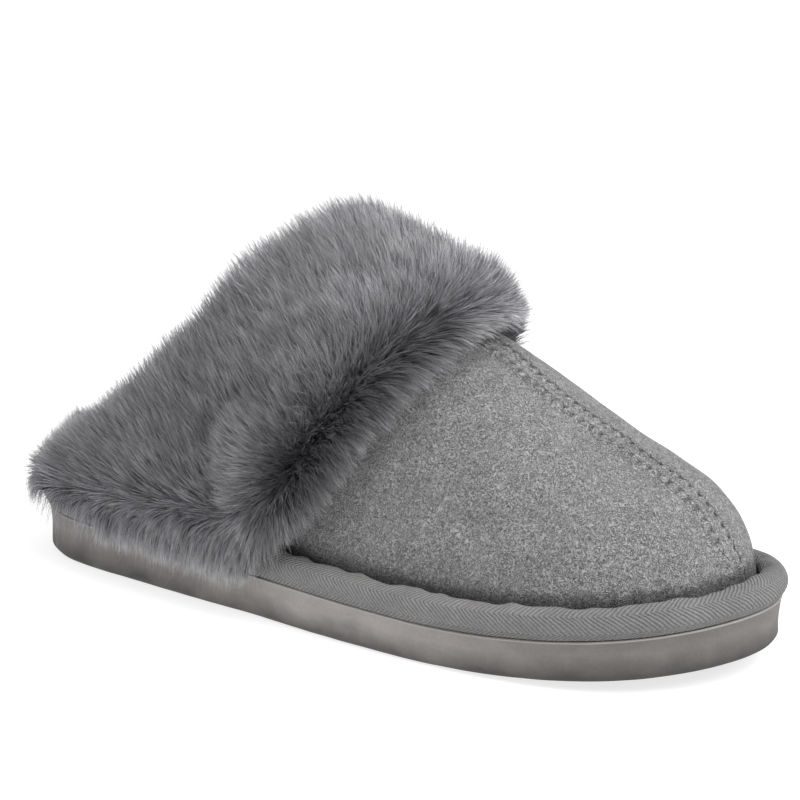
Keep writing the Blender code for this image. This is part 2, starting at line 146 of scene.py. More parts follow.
# Comb of the fur up the wall, as lean for one unit outwards: share of the way from heel to instep,
# at the lower edge, just above it, on the crest, on the wall, at the topline
FUR_COMB = (
    (0.00, -0.90, -0.35, 0.05, 0.55, 1.20),
    (0.15, -0.90, -0.35, 0.10, 0.80, 1.10),
    (0.30, -0.90, -0.35, 0.15, 1.00, 1.10),
    (0.55, -1.00, -0.60, 0.10, 1.00, 1.05),
    (0.68, -2.00, -1.20, -0.10, 0.90, 1.00),
    (0.85, -2.40, -1.40, -0.20, 0.60, 0.80),
    (1.00, -1.70, -1.00, -0.20, 0.45, 0.75),
)
# Comb of the fur towards the heel, at the same places
FUR_SWEEP = (
    (0.00, 0.00, 0.00, 0.00, 0.00, 0.00),
    (0.12, 0.25, 0.30, 0.35, 0.20, 0.10),
    (0.28, 0.15, 0.20, 0.15, -0.30, -0.25),
    (0.50, 0.10, 0.10, -0.05, -0.75, -0.60),
    (0.62, -0.10, -0.35, -0.35, -0.75, -0.60),
    (0.72, -0.20, -0.50, -0.50, -0.65, -0.50),
    (0.86, -0.20, -0.45, -0.40, -0.30, -0.20),
    (1.00, 0.00, 0.00, 0.00, 0.00, 0.00),
)
COMB_ROWS = (0.0, 0.035, 0.075, 0.36, 1.0)
MEDIAL_LIFT = 0.95  # how much less the fur's front edge is laid down on the medial side
MEDIAL_TRIM = 0.18  # how much shorter it is there at its foot
DROOP_END, DROOP_GONE = 0.54, 0.66  # where the fringe over the tape starts to end, and where it is gone

# Binding section: shares of BINDING_WIDTH inwards, of BINDING_BULGE outwards and of BINDING_HEIGHT up
BINDING_SECTION = (
    (0.96, 0.0, 0.00),
    (0.10, 0.0, 0.00),
    (0.00, 0.3, 0.10),
    (0.00, 0.9, 0.30),
    (0.00, 1.0, 0.52),
    (0.00, 0.5, 0.76),
    (0.14, 0.0, 0.93),
    (0.42, 0.0, 1.00),
    (0.74, 0.0, 0.96),
    (0.96, 0.0, 0.80),
    (1.00, 0.0, 0.55),
)

# Herringbone of the binding
TAPE_BAND = 0.0052  # width of one band
TAPE_BAND_START = 0.0021
TAPE_RIB = 0.0015  # spacing of the ribs along the tape
TAPE_SLOPE = 1.20  # how far a rib runs along the tape for one unit across it

# Stitching of the centre seam
STITCH_ROW = 0.00275  # distance of each row from the seam's middle
STITCH_PITCH = 0.0035
STITCH_LENGTH = 0.0024
STITCH_RADIUS = 0.00024
STITCH_SINK = 0.00042  # how deep its ends lie under the seam's top
STITCH_ARCH = 0.00034  # how far its middle stands above its ends

# Strands of the fur
STRAND_WIDTH = 0.00023
STRAND_STATIONS = ((0.28, 1.0), (0.68, 0.85), (1.0, 0.0))  # share of the way to the tip, share of the width

UP = np.array([0.0, 0.0, 1.0])


# Curves and sections of the last, as in the CAD but for whole arrays

def column(table, index):
    return [row[index] for row in table]


def monotone(xs, ys, x):
    """Monotone cubic through the table (xs, ys), read at the array x."""
    xs, ys, x = (np.asarray(v, float) for v in (xs, ys, x))
    step = np.diff(xs)
    slope = np.diff(ys) / step
    tangent = np.zeros_like(ys)
    tangent[0], tangent[-1] = slope[0], slope[-1]
    same = slope[:-1] * slope[1:] > 0
    w1, w2 = 2 * step[1:] + step[:-1], step[1:] + 2 * step[:-1]
    with np.errstate(divide="ignore", invalid="ignore"):
        mean = (w1 + w2) / (w1 / slope[:-1] + w2 / slope[1:])
    tangent[1:-1] = np.where(same, mean, 0.0)
    i = np.clip(np.searchsorted(xs, x) - 1, 0, len(step) - 1)
    t = (np.clip(x, xs[0], xs[-1]) - xs[i]) / step[i]
    return (
        (1 + 2 * t) * (1 - t) ** 2 * ys[i]
        + t * (1 - t) ** 2 * step[i] * tangent[i]
        + t * t * (3 - 2 * t) * ys[i + 1]
        + t * t * (t - 1) * step[i] * tangent[i + 1]
    )


def rooted(table, scale, t):
    """A width or height that closes with a round end: the square of the column is interpolated."""
    squares = [(scale * row[1]) ** 2 for row in table]
    return np.sqrt(np.maximum(monotone(column(table, 0), squares, t), 0.0))


def crown_rise(x):
    return rooted(CROWN, INSTEP_HEIGHT, np.asarray(x) / (SOLE_LENGTH - UPPER_INSET))


def toe_share(x):
    """Share of the way from where the sole starts to rise to its tip."""
    return np.clip((np.asarray(x) / SOLE_LENGTH - SPRING_START) / (1 - SPRING_START), 0, 1)


def spring(x):
    """Height of the sole's underside."""
    return TOE_SPRING * toe_share(x) ** SPRING_CURVE


def sole_top(x):
    level = HEEL_THICKNESS + (TOE_THICKNESS - HEEL_THICKNESS) * np.asarray(x) / SOLE_LENGTH
    return level + RIM_SPRING * toe_share(x) ** SPRING_CURVE


def last_floor(x):
    return sole_top(x) + GAP


def binding_top(x):
    return sole_top(x) + GAP + BINDING_HEIGHT


def crown_height(x):
    return last_floor(x) + crown_rise(x)


def topline(x):
    """Height of the opening's edge above the ground, seen from the side."""
    heel = binding_top(0.0) + HEEL_RIM
    share = monotone(column(TOPLINE, 0), column(TOPLINE, 1), np.asarray(x) / THROAT)
    return heel + (crown_height(THROAT) - heel) * share


def eased(count):
    """Shares from 0 to 1, crowded at both ends."""
    return (1 - np.cos(np.linspace(0, math.pi, count + 1))) / 2


def unit(vectors):
    return vectors / np.maximum(np.linalg.norm(vectors, axis=-1, keepdims=True), 1e-12)


def smooth_share(value):
    """Eased step from 0 to 1."""
    t = np.clip(value, 0, 1)
    return t * t * (3 - 2 * t)


def bell(distance, width):
    return np.exp(-((distance / width) ** 2) / 2)


def run_length(points):
    """How far along a polyline each of its points lies."""
    steps = np.linalg.norm(np.diff(points, axis=0), axis=1)
    return np.concatenate([[0], np.cumsum(steps)])


def outline_loop(samples=480):
    """The sole's outline from the heel along the lateral side to the toe and back: points, outward normals
    and the toe's place among them."""
    t = eased(samples)
    width = rooted(OUTLINE, 1.0, t)
    lateral = monotone(column(OUTLINE, 0), column(OUTLINE, 2), t)
    near = np.stack([t * SOLE_LENGTH, -width * lateral], 1)
    far = np.stack([t * SOLE_LENGTH, width * (1 - lateral)], 1)[::-1]
    points = np.concatenate([near, far[1:-1]])
    run = np.roll(points, -1, 0) - np.roll(points, 1, 0)
    normals = np.stack([run[:, 1], -run[:, 0]], 1)
    return points, normals / np.linalg.norm(normals, axis=1)[:, None], samples


def inset_sides(inset):
    """The outline moved inwards, as a lateral and a medial polyline that both run from heel to toe."""
    points, normals, toe = outline_loop()
    moved = points - normals * inset
    lateral = moved[: toe + 1]
    medial = np.concatenate([moved[toe:], moved[:1]])[::-1]
    return lateral, medial


def evenly(polyline, shares):
    """Points at these shares of a polyline's length."""
    along = run_length(polyline)
    at = np.asarray(shares) * along[-1]
    return np.stack([np.interp(at, along, polyline[:, k]) for k in range(polyline.shape[1])], 1)


def ring(inset, count):
    """Points of the outline moved inwards, from the heel round by the lateral side."""
    shares = np.linspace(0, 1, count // 2 + 1)
    lateral, medial = (evenly(side, shares) for side in inset_sides(inset))
    return np.concatenate([lateral, medial[-2:0:-1]])


def outwards(count):
    """How far the points of a ring move for each metre that the outline grows."""
    return (ring(-0.001, count) - ring(0.0, count)) * 1000


class Last:
    """The surface that the upper is drawn over, moved inwards by a wall thickness."""

    def __init__(self, inwards):
        self.lateral, self.medial = inset_sides(UPPER_INSET + inwards)
        self.heel, self.toe = self.lateral[0, 0], self.lateral[-1, 0]
        x = eased(400) * (SOLE_LENGTH - UPPER_INSET)
        height = crown_rise(x)
        run, rise = np.gradient(x), np.gradient(height)
        size = np.hypot(run, rise)
        self.profile_x = x + rise / size * inwards
        self.profile_z = height - run / size * inwards
        self.throat = self.find_throat(inwards)

    def crown(self, x):
        """Height of the crown above the sole."""
        spread = (x - self.heel) / (self.toe - self.heel)
        at = self.profile_x[0] + spread * (self.profile_x[-1] - self.profile_x[0])
        tip = np.clip((x - THROAT) / (self.toe - THROAT), 0, 1)
        return np.maximum(np.interp(x + (at - x) * tip, self.profile_x, self.profile_z), 0.0)

    def find_throat(self, inwards):
        """Where the topline meets the crown."""
        low, high = THROAT - 8 * inwards - 1e-6, THROAT
        for _ in range(60):
            middle = (low + high) / 2
            above = last_floor(middle) + self.crown(middle) > topline(middle)
            low, high = (middle, high) if above else (low, middle)
        return THROAT if inwards == 0 else (low + high) / 2

    def half_width(self, x, side):
        lateral = np.interp(x, self.lateral[:, 0], self.lateral[:, 1])
        medial = np.interp(x, self.medial[:, 0], self.medial[:, 1])
        return np.abs(np.where(np.asarray(side) < 0, lateral, medial))

    def power(self, side):
        return 2 / np.where(np.asarray(side) < 0, LATERAL_EXPONENT, MEDIAL_EXPONENT)

    def point(self, x, turn, side):
        """Points at a quarter-turn share: 0 at the foot of the wall, 1 on the crown."""
        angle = np.clip(turn, 0, 1) * math.pi / 2
        power = self.power(side)
        y = side * self.half_width(x, side) * np.cos(angle).clip(0) ** power
        z = last_floor(x) + self.crown(x) * np.sin(angle) ** power
        return np.stack(np.broadcast_arrays(x, y, z), -1)

    def turn_at_height(self, x, z, side):
        share = np.clip((z - last_floor(x)) / np.maximum(self.crown(x), 1e-9), 0, 1)
        return np.arcsin(share ** (1 / self.power(side))) * 2 / math.pi

    def turn_at_width(self, x, y, side):
        share = np.minimum(y / np.maximum(self.half_width(x, side), 1e-9), 0.97)
        return np.arccos(share ** (1 / self.power(side))) * 2 / math.pi

    def normal(self, x, turn, side):
        """Outward normals, from small steps along the surface."""
        dx, dt = 1e-4, 1e-3
        x = np.clip(x, self.heel + 3e-4, self.toe - 3e-4)
        turn = np.clip(turn, 2e-3, 1 - 2e-3)
        along = self.point(x + dx, turn, side) - self.point(x - dx, turn, side)
        up = self.point(x, turn + dt, side) - self.point(x, turn - dt, side)
        return unit(np.cross(along, up) * -np.asarray(side)[..., None])


OUTER = Last(0.0)
INNER = Last(UPPER_WALL)


# Meshes

def placed(points):
    """Points of the shoe in the frame."""
    return np.asarray(points, float) - (SOLE_LENGTH / 2, 0, 0)


def swell(points, wavelength, seed, waves=9):
    """Soft irregular undulation, mostly between -1 and 1, at each point."""
    rng = np.random.default_rng(seed)
    total = np.zeros(np.shape(points)[:-1])
    for _ in range(waves):
        way = unit(rng.normal(size=3))
        phase, stretch = rng.uniform(0, 2 * math.pi), rng.uniform(0.75, 1.35)
        total += np.sin(points @ way * (2 * math.pi / (wavelength * stretch)) + phase)
    return total / math.sqrt(waves)


def grid_faces(rows, columns, around=False):
    """Quads of a grid, joined end to end if its columns run around."""
    last = columns if around else columns - 1
    r, c = np.meshgrid(np.arange(rows - 1), np.arange(last), indexing="ij")
    n = (c + 1) % columns
    r, below = r * columns, (r + 1) * columns
    return np.stack([r + c, r + n, below + n, below + c], -1).reshape(-1, 4)


def spanned(row, columns):
    """A grid from one half of a closed row of points to the other, and its lines' shares of the way."""
    half = len(row) // 2
    near, far = row[: half + 1], np.concatenate([row[half:], row[:1]])[::-1]
    share = np.linspace(0, 1, columns + 1)[:, None]
    return near * (1 - share[..., None]) + far * share[..., None], share


def joined(*grids):
    """Points and faces of several grids, each with whether it runs around and whether it is turned over."""
    points, faces = [], []
    for grid, around, turned in grids:
        quads = grid_faces(*grid.shape[:2], around)
        faces.append((quads[:, ::-1] if turned else quads) + sum(map(len, points)))
        points.append(grid.reshape(-1, 3))
    return np.concatenate(points), np.concatenate(faces)


def grid_corners(us, vs):
    """The quads' corner coordinates, for a map that follows the grid."""
    v, u = np.meshgrid(vs, us, indexing="ij")
    a, b = np.stack([u, v], -1)[:, :-1], np.stack([u, v], -1)[:, 1:]
    return np.stack([a[:-1], b[:-1], b[1:], a[1:]], -2).reshape(-1, 4, 2)


def shape(name, points, faces, finish, corners=None, smooth=True):
    """An object from an array of points and arrays of faces, each with its own number of corners."""
    mesh = bpy.data.meshes.new(name)
    faces = [faces] if isinstance(faces, np.ndarray) else list(faces)
    index = np.concatenate([f.ravel() for f in faces]).astype(np.int32)
    sizes = np.concatenate([np.full(len(f), f.shape[1]) for f in faces])
    starts = np.concatenate([[0], np.cumsum(sizes)[:-1]]).astype(np.int32)
    mesh.vertices.add(len(points))
    mesh.vertices.foreach_set("co", np.asarray(points, np.float32).ravel())
    mesh.loops.add(len(index))
    mesh.loops.foreach_set("vertex_index", index)
    mesh.polygons.add(len(sizes))
    mesh.polygons.foreach_set("loop_start", starts)
    mesh.update(calc_edges=True)
    if corners is not None:
        layer = mesh.uv_layers.new(name="cloth")
        layer.data.foreach_set("uv", np.asarray(corners, np.float32).ravel())
    if smooth:
        mesh.shade_smooth()
    made = bpy.data.objects.new(name, mesh)
    bpy.context.scene.collection.objects.link(made)
    for each in finish if isinstance(finish, (list, tuple)) else [finish]:
        mesh.materials.append(each)
    return made


def welded(piece, distance=2e-6):
    """Joins the points that coincide, and turns the faces outwards."""
    work = bmesh.new()
    work.from_mesh(piece.data)
    bmesh.ops.remove_doubles(work, verts=work.verts[:], dist=distance)
    bmesh.ops.dissolve_degenerate(work, edges=work.edges[:], dist=1e-7)
    bmesh.ops.recalc_face_normals(work, faces=work.faces[:])
    if work.calc_volume(signed=True) < 0:
        bmesh.ops.reverse_faces(work, faces=work.faces[:])
    work.to_mesh(piece.data)
    work.free()
    return piece


def belongs(piece, slot, *nodes):
    """The piece rides on the shoe and stands for the nodes, which it hides; slot is not used."""
    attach(piece, "root")
    if nodes:
        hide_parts(*nodes)
    return piece


# Materials

# Base colours, before each finish varies them
SUEDE = (0.229, 0.225, 0.227)
LINING = (0.120, 0.118, 0.128)
TAPE = (0.246, 0.242, 0.241)
FOAM = (0.276, 0.258, 0.248)
# Pale glue at the foam's joint, with a painted highlight on its ledge
FOAM_JOINT = (0.40, 0.385, 0.37, 1)
FOOTBED = (0.085, 0.083, 0.090)
THREAD = (0.225, 0.220, 0.222)
# Undercoat: the coat's dense lower layer, its darkness painted shade deep in the fur
UNDERCOAT = (0.050, 0.049, 0.054)

# Colour along a strand, from root to tip: the fur's own tone, with painted shade towards the root and painted
# light towards the tip
FUR_STOPS = (
    (0.00, (0.030, 0.029, 0.033)),
    (0.35, (0.064, 0.062, 0.070)),
    (0.70, (0.128, 0.125, 0.139)),
    (0.88, (0.236, 0.234, 0.245)),
    (1.00, (0.470, 0.468, 0.473)),
)


class Nodes:
    """Short hand for building a procedural material."""

    def __init__(self, name, roughness, specular=0.3):
        self.material = bpy.data.materials.new(name)
        self.material.use_nodes = True
        self.tree = self.material.node_tree
        self.shader = self.tree.nodes["Principled BSDF"]
        self.shader.inputs["Roughness"].default_value = roughness
        self.shader.inputs["Specular IOR Level"].default_value = specular
        self.place = self.add("ShaderNodeTexCoord").outputs["Object"]

    def add(self, kind, **settings):
        node = self.tree.nodes.new(kind)
        for key, value in settings.items():
            setattr(node, key, value)
        return node

    def link(self, output, socket):
        self.tree.links.new(output, socket)

    def feed(self, socket, value):
        if isinstance(value, bpy.types.NodeSocket):
            self.link(value, socket)
        else:
            socket.default_value = value

    def math(self, operation, a, b):
        node = self.add("ShaderNodeMath", operation=operation)
        self.feed(node.inputs[0], a)
        self.feed(node.inputs[1], b)
        return node.outputs[0]

    def times(self, *factors):
        """The product of several factors."""
        product = factors[0]
        for factor in factors[1:]:
            product = self.math("MULTIPLY", product, factor)
        return product

    def noise(self, size, detail=2.0, roughness=0.5, distortion=0.0, place=None):
        """Noise whose features are about this size in metres."""
        node = self.add("ShaderNodeTexNoise")
        self.link(place or self.place, node.inputs["Vector"])
        settings = {"Scale": 1 / size, "Detail": detail, "Roughness": roughness, "Distortion": distortion}
        for key, value in settings.items():
            node.inputs[key].default_value = value
        return node.outputs["Fac"]

    def stretched(self, x, y, z):
        node = self.add("ShaderNodeMapping")
        self.link(self.place, node.inputs["Vector"])
        node.inputs["Scale"].default_value = (x, y, z)
        return node.outputs["Vector"]

    def parts(self, vector):
        """The X, Y and Z of a vector."""
        node = self.add("ShaderNodeSeparateXYZ")
        self.link(vector, node.inputs[0])
        return node.outputs

    def cloth(self):
        """The cloth map's X and Y."""
        return self.parts(self.add("ShaderNodeUVMap", uv_map="cloth").outputs["UV"])

    def remap(self, value, low, high, to_low=0.0, to_high=1.0):
        node = self.add("ShaderNodeMapRange")
        self.feed(node.inputs["Value"], value)
        settings = {"From Min": low, "From Max": high, "To Min": to_low, "To Max": to_high}
        for key, number in settings.items():
            node.inputs[key].default_value = number
        return node.outputs["Result"]

    def vary(self, noise, low, high):
        """Noise as a number that stays between low and high."""
        return self.remap(noise, 0.3, 0.7, low, high)

    def ramp(self, value, stops):
        node = self.add("ShaderNodeValToRGB")
        self.link(value, node.inputs["Fac"])
        elements = node.color_ramp.elements
        while len(elements) < len(stops):
            elements.new(0.5)
        for element, (position, colour) in zip(elements, stops):
            element.position = position
            element.color = (*colour, 1)
        return node.outputs["Color"]

    def shade(self, colour, factor):
        """The colour made lighter or darker by a factor."""
        node = self.add("ShaderNodeVectorMath", operation="SCALE")
        self.feed(node.inputs[0], colour)
        self.feed(node.inputs["Scale"], factor)
        return node.outputs[0]

    def blend(self, share, a, b):
        node = self.add("ShaderNodeMix", data_type="RGBA")
        for socket, value in ((0, share), (6, a), (7, b)):
            self.feed(node.inputs[socket], value)
        return node.outputs[2]

    def bump(self, height, depth, before=None):
        """Relief of this depth in metres for a height from 0 to 1."""
        node = self.add("ShaderNodeBump")
        self.link(height, node.inputs["Height"])
        node.inputs["Strength"].default_value = 1.0
        node.inputs["Distance"].default_value = depth
        if before is not None:
            self.link(before, node.inputs["Normal"])
        return node.outputs["Normal"]

    def attribute(self, name):
        return self.add("ShaderNodeAttribute", attribute_name=name).outputs["Fac"]

    def colour(self, value):
        self.feed(self.shader.inputs["Base Color"], value)

    def relief(self, normal):
        self.link(normal, self.shader.inputs["Normal"])

    def sheen(self, weight, roughness, tint):
        self.shader.inputs["Sheen Weight"].default_value = weight
        self.shader.inputs["Sheen Roughness"].default_value = roughness
        self.shader.inputs["Sheen Tint"].default_value = (*tint, 1)


def suede_finish():
    """Brushed suede: short curled nap, soft cloudy patches, the upper's painted shade and highlights, and a
    light bloom at grazing angles.
    """
    made = Nodes("suede_nap", 0.92, 0.2)
    nap = made.noise(0.00108, 1.0, 0.6, 2.4)
    flecks = made.noise(0.00050, 1.0, 0.5, 1.8)
    clouds = made.noise(0.013, 3.0, 0.6, 0.5)
    curl = made.remap(nap, 0.40, 0.60, 0.55, 1.45)
    tone = made.math("ADD", curl, made.remap(flecks, 0.36, 0.64, -0.28, 0.28))
    # The upper's painted shade and highlights scale the suede's tone
    tone = made.times(tone, made.vary(clouds, 0.91, 1.09), made.attribute("painted_shade_and_highlight"))
    made.colour(made.shade(SUEDE, tone))
    made.relief(made.bump(nap, 0.00105, made.bump(flecks, 0.00006)))
    made.sheen(0.12, 0.45, (0.9, 0.9, 0.92))
    return made.material


def twill_finish():
    """Herringbone tape: slanting ribs that turn back at the middle of each band, darker at the toe."""
    made = Nodes("herringbone_tape", 0.85, 0.25)
    cloth = made.cloth()
    wander = made.vary(made.noise(0.006, 2.0), -0.00035, 0.00035)
    folded = made.math("PINGPONG", made.math("ADD", cloth["Y"], TAPE_BAND_START), TAPE_BAND)
    slanted = made.math("ADD", made.math("ADD", cloth["X"], wander), made.times(folded, TAPE_SLOPE))
    rib = made.math("PINGPONG", made.math("DIVIDE", slanted, TAPE_RIB / 2), 1.0)
    rib = made.remap(rib, 0.1, 0.9)
    thread = made.noise(0.0005, 1.5, 0.5)
    clouds = made.noise(0.010, 3.0)
    tone = made.times(
        made.remap(rib, 0.0, 1.0, 0.66, 1.08),
        made.vary(thread, 0.86, 1.14),
        made.vary(clouds, 0.93, 1.07),
        made.remap(made.parts(made.place)["X"], 0.030, 0.110, 1.0, 0.87),
    )
    made.colour(made.shade(TAPE, tone))
    made.relief(made.bump(rib, 0.00045, made.bump(thread, 0.00018)))
    made.sheen(0.08, 0.4, (0.9, 0.9, 0.9))
    return made.material


def foam_finish():
    """Moulded foam: mottled, with painted shade towards the foot, darker towards the heel and toe, and a pale
    line at the joint that is glue with a painted highlight on its ledge.
    """
    made = Nodes("foam_side", 0.72, 0.35)
    height = made.cloth()["Y"]
    mottle = made.noise(0.011, 4.0, 0.6, 0.7, made.stretched(0.7, 0.7, 1.6))
    speck = made.noise(0.0011, 3.0, 0.6)
    wobble = made.vary(made.noise(0.014, 2.0), -0.12, 0.12)
    along = made.parts(made.place)["X"]
    tone = made.times(
        made.vary(mottle, 0.90, 1.12),
        made.vary(speck, 0.95, 1.06),
        # Painted shade towards the foot of the side
        made.remap(made.math("ADD", height, wobble), 0.08, 0.66, 0.30, 1.0),
        made.remap(along, 0.035, 0.105, 1.0, 0.50),
        made.remap(along, -0.115, -0.030, 0.52, 1.0),
    )
    # Pale line at the joint: glue, with a painted highlight where its ledge catches the light
    joint = made.remap(height, 0.950, 0.975, 0.0, 0.85)
    made.colour(made.blend(joint, made.shade(FOAM, tone), FOAM_JOINT))
    made.relief(made.bump(mottle, 0.0004, made.bump(speck, 0.00012)))
    return made.material


def grained_finish(name, roughness, specular, colour, grain, tones, depth, clouds=False):
    """A plain finish with one grain: its noise, the range of its tone and the depth of its relief."""
    made = Nodes(name, roughness, specular)
    pile = made.noise(*grain)
    tone = made.vary(pile, *tones)
    if clouds:
        tone = made.times(tone, made.vary(made.noise(0.012, 2.0), 0.92, 1.08))
    made.colour(made.shade(colour, tone))
    made.relief(made.bump(pile, depth))
    return made.material


def fur_finish(name):
    """Fur strands: dark at the root with painted shade, paler and softer at the tip with painted light, each
    lock with its own tone.
    """
    made = Nodes(name, 0.62, 0.22)
    colour = made.ramp(made.attribute("along"), FUR_STOPS)
    made.colour(made.shade(colour, made.attribute("tone")))
    made.sheen(0.15, 0.5, (0.85, 0.86, 0.92))
    return made.material


# Outsole

OUTSOLE_POINTS = 800
OUTSOLE_LEVELS = 9  # levels of the side between the rounded foot and the top
SIDE_HOLLOW = 0.00035
TREAD_DEPTH = 0.0011
TREAD_PITCH = 0.0064
TREAD_WAVE = 0.024
TREAD_SWING = 0.0022
TREAD_PADS = ((0.012, 0.078), (0.118, 0.232))  # from and to, under the heel and the forefoot
TREAD_FADE = 0.003
FOAM_SWAYS = ((0.035, 3, 0.00018), (0.009, 4, 0.00005))  # wavelength, seed and depth


def tread_depth(x, y):
    """Wavy ribs under the heel and the forefoot."""
    swung = x + TREAD_SWING * np.sin(2 * math.pi * y / TREAD_WAVE)
    groove = smooth_share((np.sin(2 * math.pi * swung / TREAD_PITCH) - 0.15) / 0.5)
    pads = [smooth_share((x - a) / TREAD_FADE) * smooth_share((b - x) / TREAD_FADE) for a, b in TREAD_PADS]
    return TREAD_DEPTH * groove * np.maximum(*pads)


def outsole_levels():
    """Levels of the sole's side from the foot up: the inset and the height as a function of x."""
    corner = SOLE_EDGE_RADIUS
    levels = []
    for a in np.radians(np.linspace(0, 90, 8)):
        rise = corner * (1 - math.cos(a))
        levels.append((SOLE_FLARE + corner * (1 - math.sin(a)), lambda x, rise=rise: spring(x) + rise))
    for share in np.arange(1, OUTSOLE_LEVELS - 1) / OUTSOLE_LEVELS:
        inset = SOLE_FLARE * (1 - share) + SIDE_HOLLOW * math.sin(math.pi * share)

        def height(x, share=share):
            return spring(x) + corner + (sole_top(x) - spring(x) - corner) * share

        levels.append((inset, height))
    # The glued joint stands a little proud of the side before the top turns in
    levels.append((0.0001, lambda x: sole_top(x) - 0.0007))
    levels.append((-0.00015, lambda x: sole_top(x) - 0.00025))
    levels.append((0.0002, sole_top))
    levels.append((BINDING_WIDTH, sole_top))
    return levels


def dressed_outsole():
    """Foam sole: its side, the tread underneath and the flat rim that carries the tape."""
    rows = []
    for inset, height in outsole_levels():
        flat = ring(inset, OUTSOLE_POINTS)
        rows.append(np.column_stack([flat, height(flat[:, 0])]))
    side = np.stack(rows)
    out = np.column_stack([outwards(OUTSOLE_POINTS), np.zeros(OUTSOLE_POINTS)])
    sway = sum(swell(side, wavelength, seed) * depth for wavelength, seed, depth in FOAM_SWAYS)
    weight = np.array([0.0] + [1.0] * (len(rows) - 3) + [0.3, 0.0])
    side = side + out[None] * (sway * weight[:, None])[..., None]

    under, share = spanned(side[0], 24)
    edge = np.minimum(share, 1 - share) * np.linalg.norm(under[-1] - under[0], axis=1)
    x, y = under[..., 0], under[..., 1]
    under[..., 2] = spring(x) + tread_depth(x, y) * smooth_share(edge / 0.006 - 0.5)
    over, _ = spanned(side[-1], 1)
    points, faces = joined((side, True, False), (under, False, False), (over, False, True))

    # The cloth map's height runs from the ground to the sole's top edge
    ground = spring(side[..., 0])
    level = (side[..., 2] - ground) / (sole_top(side[..., 0]) - ground)
    level = np.concatenate([level, level[:, :1]], 1)
    level = level.ravel()[grid_faces(*level.shape)]
    plain = np.full((len(faces) - len(level), 4, 2), 0.3)
    corners = np.concatenate([np.stack([np.zeros_like(level), level], -1), plain])
    made = welded(shape("foam_outsole", placed(points), faces, foam_finish(), corners))
    made.data.set_sharp_from_angle(angle=math.radians(55))
    return belongs(made, "foam_sole", "outsole")


# Edge binding

BINDING_POINTS = 1000
GATHER_UP = 0.00040
GATHER_IN = 0.00022
SWAY_UP = 0.00015
SWAY_OUT = 0.00018


def closed_curve(points, steps):
    """A smooth closed curve through the points."""
    points = np.asarray(points, float)
    before, after, beyond = np.roll(points, 1, 0), np.roll(points, -1, 0), np.roll(points, -2, 0)
    rows = []
    for t in np.arange(steps) / steps:
        rows.append(
            0.5 * (2 * points + (after - before) * t + (2 * before - 5 * points + 4 * after - beyond) * t * t
                   + (3 * points - before - 3 * after + beyond) * t**3)
        )
    return np.stack(rows, 1).reshape(-1, points.shape[1])


def dressed_binding():
    """Rolled tape with a slightly gathered inner edge."""
    corners = [(a * BINDING_WIDTH - b * BINDING_BULGE, c * BINDING_HEIGHT) for a, b, c in BINDING_SECTION]
    section = closed_curve(corners, 3)
    base = ring(0.0, BINDING_POINTS)
    out = unit(outwards(BINDING_POINTS))
    spots = np.column_stack([base, np.zeros(BINDING_POINTS)])
    gather, slow = swell(spots, 0.0085, 11), swell(spots, 0.030, 12)
    fold = np.zeros((len(section), BINDING_POINTS, 3))
    for k, (inward, up) in enumerate(section):
        flat = ring(inward, BINDING_POINTS)
        inwards, upwards = inward / BINDING_WIDTH, up / BINDING_HEIGHT
        inner = smooth_share((inwards - 0.30) / 0.5) * smooth_share((upwards - 0.5) / 0.4)
        side = smooth_share(upwards / 0.3) * smooth_share(0.8 - inwards)
        fold[k] = np.column_stack([flat, sole_top(flat[:, 0]) + GAP + up])
        fold[k, :, 2] += GATHER_UP * gather * inner + SWAY_UP * slow * smooth_share(upwards)
        fold[k, :, :2] += out * (SWAY_OUT * slow * side - GATHER_IN * gather * inner)[:, None]

    around = run_length(np.concatenate([base, base[:1]]))
    across = run_length(np.concatenate([section, section[:1]]))
    faces = grid_faces(len(section) + 1, BINDING_POINTS, around=True) % fold[..., 0].size
    corners = grid_corners(around, across)
    made = shape("tape_binding", placed(fold.reshape(-1, 3)), faces, twill_finish(), corners)
    check = bmesh.new()
    check.from_mesh(made.data)
    if check.calc_volume(signed=True) < 0:
        made.data.flip_normals()
    check.free()
    return belongs(made, "twill_binding", "edge_binding")


# Upper

REAR_STATIONS, FRONT_STATIONS = 30, 330
FLANK_ROWS, SEAM_ROWS, LINING_ROWS = 44, 26, 18
CLOSE_ROWS_FROM = 0.0068  # distance from the seam's middle where the close rows begin
# Painted shade on the suede just above the tape: how much darker at the tape, and up to what height above it
FOOT_SHADE = 0.62
FOOT_SHADE_HEIGHT = 0.0042
ROW_WIDTH = 0.00045  # of the groove that the stitches pull into the suede
ROW_DEPTH = 0.00030
HOLE_DEPTH = 0.00060
SEAM_PUFFS = ((0.00135, 0.00062, 0.00105), (-0.00105, 0.00048, 0.00055))  # place beside the row, width, height

# Soft troughs and ridges of the vamp: place along the shoe and across it as shares of the way from throat to
# toe and of the half width (lateral side negative), length, breadth and turn on the surface, and height
CREASES = (
    (0.30, -0.62, 0.050, 0.0060, 12, -0.00045),
    (0.36, -0.52, 0.050, 0.0060, 12, 0.00035),
    (0.52, -0.78, 0.040, 0.0050, 25, -0.00040),
    (0.30, 0.60, 0.050, 0.0060, -12, -0.00045),
    (0.55, 0.74, 0.040, 0.0050, -20, -0.00040),
    (0.70, -0.30, 0.030, 0.0050, 65, -0.00025),
    (0.72, 0.34, 0.030, 0.0050, -65, -0.00025),
)


